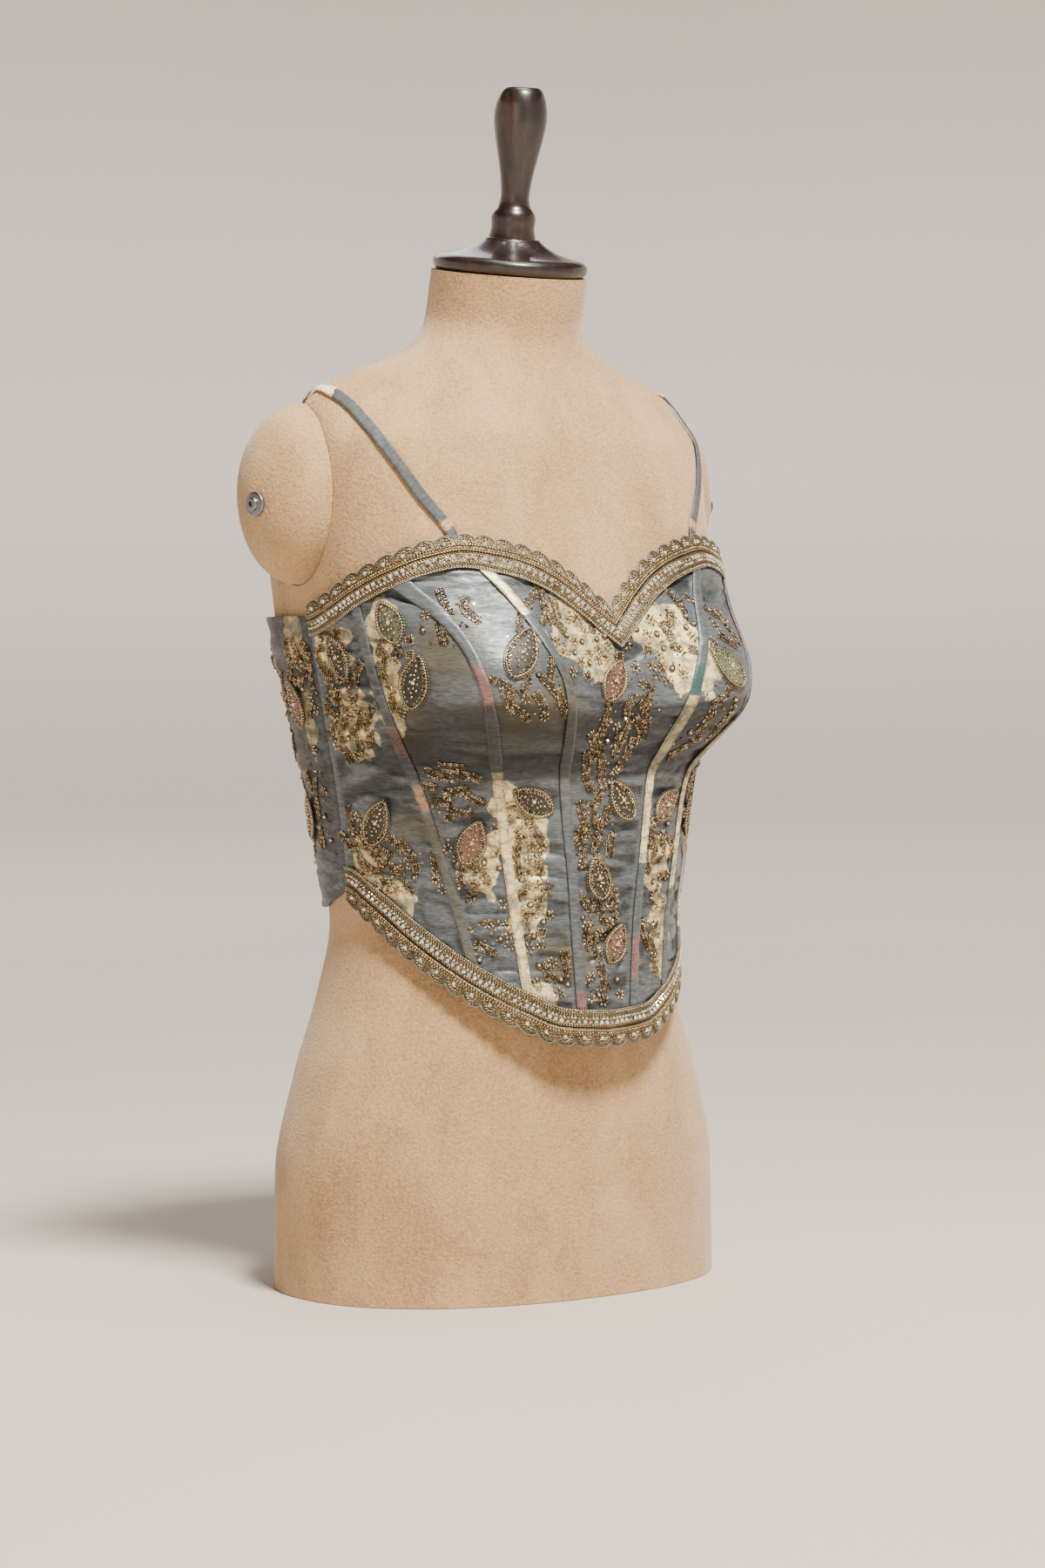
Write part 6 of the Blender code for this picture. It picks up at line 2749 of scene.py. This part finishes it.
@dataclass(frozen=True)
class Cap:
    """A shoulder cap: a shallow dome on a short skirt that sits in the torso's recess."""

    centre: Triple = (0.146, 0.039, 0.555)
    half_height: float = 0.0625
    half_depth: float = 0.043
    skirt: float = 0.008
    bulge: float = 0.044
    roundness: float = 0.92
    touch_gap: float = 0.0003
    recess_gap: float = 0.0006
    recess_reach: float = 0.060
    rings: int = 26
    sides: int = 144

    def drop(self, lean: float) -> float:
        """The dome's height where its profile leans by an angle."""
        return self.skirt + self.bulge * math.cos(lean) ** self.roundness

    def mesh(self, side: int) -> bpy.types.Mesh:
        """The cap of one side, in place.

        Args:
            side: The side, -1 or 1 along X.

        Returns:
            The mesh.
        """
        profile = [(0.0, self.drop(0.0))]
        for k in range(1, self.rings):
            lean = k / self.rings * math.pi / 2
            profile.append((math.sin(lean), self.drop(lean)))
        profile += [(1.0, self.skirt), (1.0, 0.0), (0.0, 0.0)]
        seat_at = Vector((side * (self.centre[0] + self.touch_gap), self.centre[1] + AXIS_Y, self.centre[2]))
        turn = Matrix.Rotation(side * math.pi / 2, 4, "Y")
        size = Matrix.Diagonal((self.half_height, self.half_depth, 1.0, 1.0))
        return Turning(tuple(profile), self.sides, 1).mesh("cap", Matrix.Translation(seat_at) @ turn @ size)

    def cutter(self, side: int) -> bpy.types.Object:
        """What cuts the recess for one cap.

        Args:
            side: The side, -1 or 1 along X.

        Returns:
            The cutter's object.
        """
        bm = bmesh.new()
        bmesh.ops.create_cone(
            bm, cap_ends=True, segments=self.sides, radius1=1.0, radius2=1.0, depth=self.recess_reach,
            matrix=Matrix.Rotation(math.pi / 2, 4, "Y"),
        )
        deep, tall = self.half_depth + self.recess_gap, self.half_height + self.recess_gap
        bmesh.ops.scale(bm, vec=Vector((1.0, deep, tall)), verts=bm.verts)
        middle = side * (self.centre[0] + self.recess_reach / 2)
        shift = Vector((middle, self.centre[1] + AXIS_Y, self.centre[2]))
        bmesh.ops.translate(bm, vec=shift, verts=bm.verts)
        return fresh_object("cutter", mesh_from(bm, "cutter"))


@dataclass
class DressForm:
    """The limbless form: torso, shoulder caps with their studs, neck plate and finial."""

    wardrobe: Wardrobe
    cap: Cap = Cap()
    ring_step: float = 0.005
    sides: int = 176
    stud_y: float = 0.030
    stud_z: float = 0.548

    def torso(self) -> bpy.types.Object:
        """The body and neck, lofted through the sections and recessed for the caps.

        Returns:
            The torso's object.
        """
        girth = Girth(FORM_SECTIONS, FORM_CUP)
        heights = np.linspace(0.0, NECK_TOP, round(NECK_TOP / self.ring_step) + 1)
        turns = np.arange(self.sides) * (360.0 / self.sides) - BACK_SEAM
        points = girth.point(turns[None, :], heights[:, None])
        bm = bmesh.new()
        rings = [[bm.verts.new(point) for point in ring] for ring in points]
        for low, high in zip(rings, rings[1:]):
            for k in range(self.sides):
                after = (k + 1) % self.sides
                bm.faces.new((low[k], high[k], high[after], low[after]))
        bm.faces.new(rings[0])
        bm.faces.new(reversed(rings[-1]))
        bmesh.ops.recalc_face_normals(bm, faces=bm.faces)
        whole = fresh_object("torso", mesh_from(bm, "torso"))
        cutters = [self.cap.cutter(side) for _, side in SIDES]
        for cutter in cutters:
            recess = whole.modifiers.new("Recess", "BOOLEAN")
            recess.operation = "DIFFERENCE"
            recess.object = cutter
        graph = bpy.context.evaluated_depsgraph_get()
        made = bpy.data.meshes.new_from_object(whole.evaluated_get(graph))
        for spare in (whole, *cutters):
            bpy.data.objects.remove(spare)
        made.materials.clear()
        made.materials.append(self.wardrobe.velour)
        made.name = "velour_torso"
        made.polygons.foreach_set("material_index", [0] * len(made.polygons))
        smooth_faces(made)
        obj = fresh_object("velour_torso", made)
        made.set_sharp_from_angle(angle=math.radians(40.0))
        return obj

    def plain(self, name: str, mesh: bpy.types.Mesh, finish: Finish) -> bpy.types.Object:
        """An object of one finish, smooth but for its hard edges.

        Args:
            name: The object's name.
            mesh: Its mesh.
            finish: Its material.

        Returns:
            The object.
        """
        mesh.materials.append(finish)
        smooth_faces(mesh)
        mesh.set_sharp_from_angle(angle=math.radians(42.0))
        mesh.name = name
        return fresh_object(name, mesh)

    def build(self) -> bpy.types.Object:
        """Makes the form's pieces.

        Returns:
            The torso.
        """
        torso = self.torso()
        seat(torso, Slot.VELOUR, "form_torso")
        cap = self.cap
        for word, side in SIDES:
            dome = self.plain(f"velour_cap_{word}", cap.mesh(side), self.wardrobe.velour)
            seat(dome, Slot.VELOUR, f"form_cap_{word}")
            lean = math.asin((cap.centre[1] - self.stud_y) / cap.half_depth)
            out = cap.centre[0] + cap.drop(lean) + 2 * cap.touch_gap
            swing = math.atan(cap.bulge / cap.half_depth * math.tan(lean))
            turn = Matrix.Rotation(-side * swing, 4, "Z") @ Matrix.Rotation(side * math.pi / 2, 4, "Y")
            placed = Matrix.Translation((side * out, self.stud_y + AXIS_Y, self.stud_z)) @ turn
            stud = self.plain(f"screw_stud_{word}", STUD.mesh("stud", placed), self.wardrobe.steel)
            seat(stud, Slot.METAL, f"stud_{word}")
        lean = math.atan(NECK_TILT)
        axis = Vector((0.0, -math.sin(lean), math.cos(lean)))
        base = Vector((0.0, FORM_SECTIONS[-1].centre + AXIS_Y, NECK_TOP))
        turn = Matrix.Rotation(lean, 4, "X")
        stacked = (
            ("neck_plate", "turned_plate", PLATE, cap.touch_gap),
            ("finial", "turned_finial", FINIAL, PLATE.profile[0][1] + 2 * cap.touch_gap),
        )
        for node, name, turning, up in stacked:
            placed = Matrix.Translation(base + axis * up) @ turn
            seat(self.plain(name, turning.mesh(name, placed), self.wardrobe.wood), Slot.WOOD, node)
        return torso


@dataclass
class Straps:
    """The two flat shoulder straps, slate in front and printed over the shoulder."""

    torso: bpy.types.Object
    box: SewingBox
    wardrobe: Wardrobe
    width: float = 0.0078
    wall: float = 0.0010
    top: float = 0.0024
    steps: int = 190
    across: int = 10
    stitch_inset: float = 0.0013
    stitch_pitch: float = 0.0034
    stitch: Triple = (0.0004, 0.0004, 0.0022)
    wave: float = 0.00012
    rounding: float = 0.45
    smoothings: int = 12
    wave_length: float = 0.004
    print_start: tuple[float, float] = (0.36, 0.44)
    mark_start: tuple[float, float] = (0.060, 0.064)
    mark_end: tuple[float, float] = (0.078, 0.082)
    mark_share: float = 0.8
    uv_start: float = 0.7
    cut_width: float = 0.010

    GUIDE = (
        (0.1005, -0.0735, 0.5080), (0.1050, -0.0680, 0.5288), (0.1185, -0.0550, 0.5518),
        (0.1305, -0.0410, 0.5766), (0.1390, -0.0215, 0.5999), (0.1430, -0.0020, 0.6170),
        (0.1455, 0.0150, 0.6250), (0.1460, 0.0330, 0.6290), (0.1450, 0.0520, 0.6240),
        (0.1420, 0.0740, 0.6080), (0.1370, 0.0990, 0.5800), (0.1270, 0.1210, 0.5400),
        (0.1160, 0.1290, 0.5000), (0.1110, 0.1270, 0.4600),
    )

    def line(self, side: int, skin: BVHTree) -> tuple[Array, Array]:
        """Where the strap's middle touches the form and the directions out of it.

        Args:
            side: The side, -1 or 1 along X.
            skin: The torso's surface.

        Returns:
            The touching points and the directions.
        """
        shares = np.linspace(0.0, 1.0, len(self.GUIDE))
        guide = np.array(self.GUIDE)
        at = np.linspace(0.0, 1.0, self.steps + 1)
        near = np.stack([SmoothColumn(shares, guide[:, axis])(at) for axis in range(3)], -1)
        touches, normals = [], []
        for x, y, z in near:
            touch, normal, _, _ = skin.find_nearest(Vector((side * x, y + AXIS_Y, z)))
            touches.append(touch)
            normals.append(normal)
        normals = np.array(normals)
        for _ in range(self.smoothings):
            normals[1:-1] = unit(normals[:-2] + 2 * normals[1:-1] + normals[2:])
        return np.array(touches), normals

    def build(self) -> None:
        """Makes both straps with their rows of stitches."""
        graph = bpy.context.evaluated_depsgraph_get()
        skin = BVHTree.FromObject(self.torso, graph)
        for word, side in SIDES:
            touches, normals = self.line(side, skin)
            along = unit(np.gradient(touches, axis=0))
            across = unit(np.cross(along, normals)) * -side
            offset = np.linspace(-0.5, 0.5, self.across + 1)
            run = run_along(touches)
            wave = SoftNoise(5 + side)(run[:, None] / self.wave_length, offset[None, :] * 3)
            edge = (1.0 - (2 * np.abs(offset)) ** 6)[None, :]
            beside = touches[:, None] + across[:, None] * (offset * self.width)[None, :, None]
            lift = self.top - self.wall * self.rounding * (1 - edge) + self.wave * wave
            outer = beside + normals[:, None] * lift[..., None]
            inner = beside + normals[:, None] * (self.top - self.wall)
            share = run / run[-1]
            printed = np.broadcast_to(ease(share, *self.print_start)[:, None], lift.shape)
            mark = self.mark_share * (ease(share, *self.mark_start) * (1 - ease(share, *self.mark_end)))
            tints = {"cream": printed, "peach": np.broadcast_to(mark[:, None], lift.shape)}
            wide = offset[None, :] * self.width + self.uv_start
            uv = np.stack(np.broadcast_arrays(wide, run[:, None]), -1)
            piece = PieceMesh(f"silk_strap_{word}")
            if side < 0:
                outer, inner, uv = outer[:, ::-1], inner[:, ::-1], uv[:, ::-1]
                tints = {name: values[:, ::-1] for name, values in tints.items()}
            piece.shell(outer, inner, self.wardrobe.strap, uv, tints)
            lot = BeadLot()
            marks = np.arange(self.stitch_pitch, run[-1], self.stitch_pitch)
            for edge_side in (-1, 1):
                shift = edge_side * (self.width / 2 - self.stitch_inset)
                path = touches + across * shift + normals * self.top
                spots, ahead, out = (read_along(marks, run, values) for values in (path, along, normals))
                lot.put(spots, np.cross(ahead, out), ahead, self.stitch)
            self.box.sew(piece, BeadShape.STITCH, lot, self.wardrobe.stitch, smooth=True)
            obj = piece.make()
            seat(obj, Slot.CHANNEL, f"strap_{word}")


@dataclass(frozen=True)
class SoftBox:
    """A rectangular area light that faces the garment."""

    name: str
    place: Triple
    size: tuple[float, float]
    power: float
    colour: Colour = (1.0, 1.0, 1.0)
    aim: Triple = (0.0, 0.0, 0.42)

    def build(self) -> None:
        """Adds the light."""
        lamp = bpy.data.lights.new(self.name, "AREA")
        lamp.shape = "RECTANGLE"
        lamp.size, lamp.size_y = self.size
        lamp.energy = self.power
        lamp.color = self.colour
        obj = fresh_object(self.name, lamp)
        obj.location = self.place
        towards = Vector(self.aim) - Vector(self.place)
        obj.rotation_euler = towards.to_track_quat("-Z", "Y").to_euler()


@dataclass
class Studio:
    """A pale floor that curves up into a wall all round and glows as painted light, soft boxes and the
    camera.
    """

    radius: float = 9.0
    cove: float = 3.6
    wall: float = 4.2
    sides: int = 128
    floor_drop: float = 0.0004
    azimuth: float = 37.0
    pitch: float = 3.1
    lens: float = 104.32
    eye: Triple = (-1.92093, -2.56595, 0.525)
    backdrop: Colour = (0.560, 0.492, 0.432)
    # Painted light: how strongly the floor and wall glow.
    glow: float = 0.92
    wall_glow: float = 0.58
    dim_above: float = 0.42
    lights: tuple[SoftBox, ...] = (
        SoftBox("key_light", (-0.35, -2.1, 3.9), (0.9, 0.9), 520.0, (1.0, 0.95, 0.87)),
        SoftBox("fill_light", (-3.2, -2.2, 1.2), (1.6, 2.2), 11.0, (1.0, 0.98, 0.95)),
        SoftBox("back_light", (1.4, 3.4, 2.6), (2.6, 1.6), 38.0),
        SoftBox("top_light", (0.6, 0.2, 4.2), (1.6, 1.6), 70.0),
    )

    def bowl(self) -> None:
        """The floor and wall, one seamless turned sheet that glows as painted light."""
        outline = [(0.0, 0.0)]
        turn = np.linspace(0.0, math.pi / 2, 24)
        inner = self.radius - self.cove
        outline += [(inner + self.cove * math.sin(t), self.cove * (1 - math.cos(t))) for t in turn]
        outline.append((self.radius, self.wall))
        bm = spun([(radius, height - self.floor_drop) for radius, height in outline], self.sides)
        bmesh.ops.recalc_face_normals(bm, faces=bm.faces)
        if bm.faces[0].normal.z < 0:
            bmesh.ops.reverse_faces(bm, faces=bm.faces)
        mesh = mesh_from(bm, "studio_bowl")
        paint = Paint("studio_paper", {"Roughness": 0.9, "Specular IOR Level": 0.15})
        cloud = paint.noise(paint.place("Object"), 0.8, 2.0)
        light = tuple(value * 1.02 for value in self.backdrop)
        dark = tuple(value * 0.98 for value in self.backdrop)
        paint.colour(paint.ramp(cloud, [(0.4, dark), (0.6, light)]))
        # Painted light: the sheet glows in its own colour, more away from the middle and up the cove and
        # less from half a metre up; the glow also lights the garment.
        reach = paint.node("ShaderNodeVectorMath", {0: paint.place("Object")}, operation="LENGTH")
        height = paint.node("ShaderNodeSeparateXYZ", {0: paint.place("Object")})
        dimmer = paint.sum("MULTIPLY", paint.step(height.outputs["Z"], 0.5, 2.1), -self.dim_above)
        full = paint.sum("MULTIPLY", paint.step(reach.outputs["Value"], 0.9, 5.2), self.glow)
        wall = paint.sum("MULTIPLY", paint.step(height.outputs["Z"], 0.0, 0.7), self.wall_glow)
        raised = paint.sum("MULTIPLY", paint.sum("ADD", full, wall), paint.sum("ADD", dimmer, 1.0))
        paint.shader.inputs["Emission Color"].default_value = (*self.backdrop, 1.0)
        paint.link(raised, paint.shader.inputs["Emission Strength"])
        mesh.materials.append(paint.material)
        smooth_faces(mesh)
        fresh_object("studio_bowl", mesh)

    def build(self) -> None:
        """Makes the studio."""
        self.bowl()
        for light in self.lights:
            light.build()
        world = bpy.data.worlds.new("studio_world")
        world.use_nodes = True
        sky = world.node_tree.nodes["Background"]
        sky.inputs["Color"].default_value = (1.0, 0.97, 0.93, 1.0)
        sky.inputs["Strength"].default_value = 0.03
        bpy.context.scene.world = world
        view = bpy.data.cameras.new("photo_view")
        view.sensor_fit = "AUTO"
        view.sensor_width = 36.0
        view.lens = self.lens
        camera = fresh_object("photo_view", view)
        camera.location = self.eye
        camera.rotation_euler = (math.radians(90.0 - self.pitch), 0.0, math.radians(-self.azimuth))
        bpy.context.scene.camera = camera


def dress_rest(wardrobe: Wardrobe) -> None:
    """Gives a finish to every CAD node that is still shown.

    Args:
        wardrobe: The finishes.
    """
    for obj in bpy.context.scene.objects:
        if obj.type == "MESH" and "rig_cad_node" in obj and not obj.hide_render:
            for material_slot in obj.material_slots:
                material_slot.material = wardrobe.tissue


def main() -> None:
    """Makes the garment, its form and the studio."""
    logging.basicConfig(level=logging.INFO, format="%(name)s: %(message)s")
    wardrobe = Wardrobe.sewn()
    garment, box = Garment(), SewingBox()
    torso = DressForm(wardrobe).build()
    relief = Relief()
    ClothPanels(garment, relief, wardrobe.silk).build()
    Channels(garment, box, wardrobe).build()
    Straps(torso, box, wardrobe).build()
    Trim("neck", garment.neck, -1, NECK_BORDER, garment, box, wardrobe).build()
    Trim("hem", garment.hem, 1, HEM_BORDER, garment, box, wardrobe).build()
    LeafWork(garment, box, wardrobe).build()
    Embroidery(Ground(garment, relief), box, wardrobe).build()
    dress_rest(wardrobe)
    Studio().build()
    bpy.context.view_layer.update()


if __name__ == "__main__":
    main()
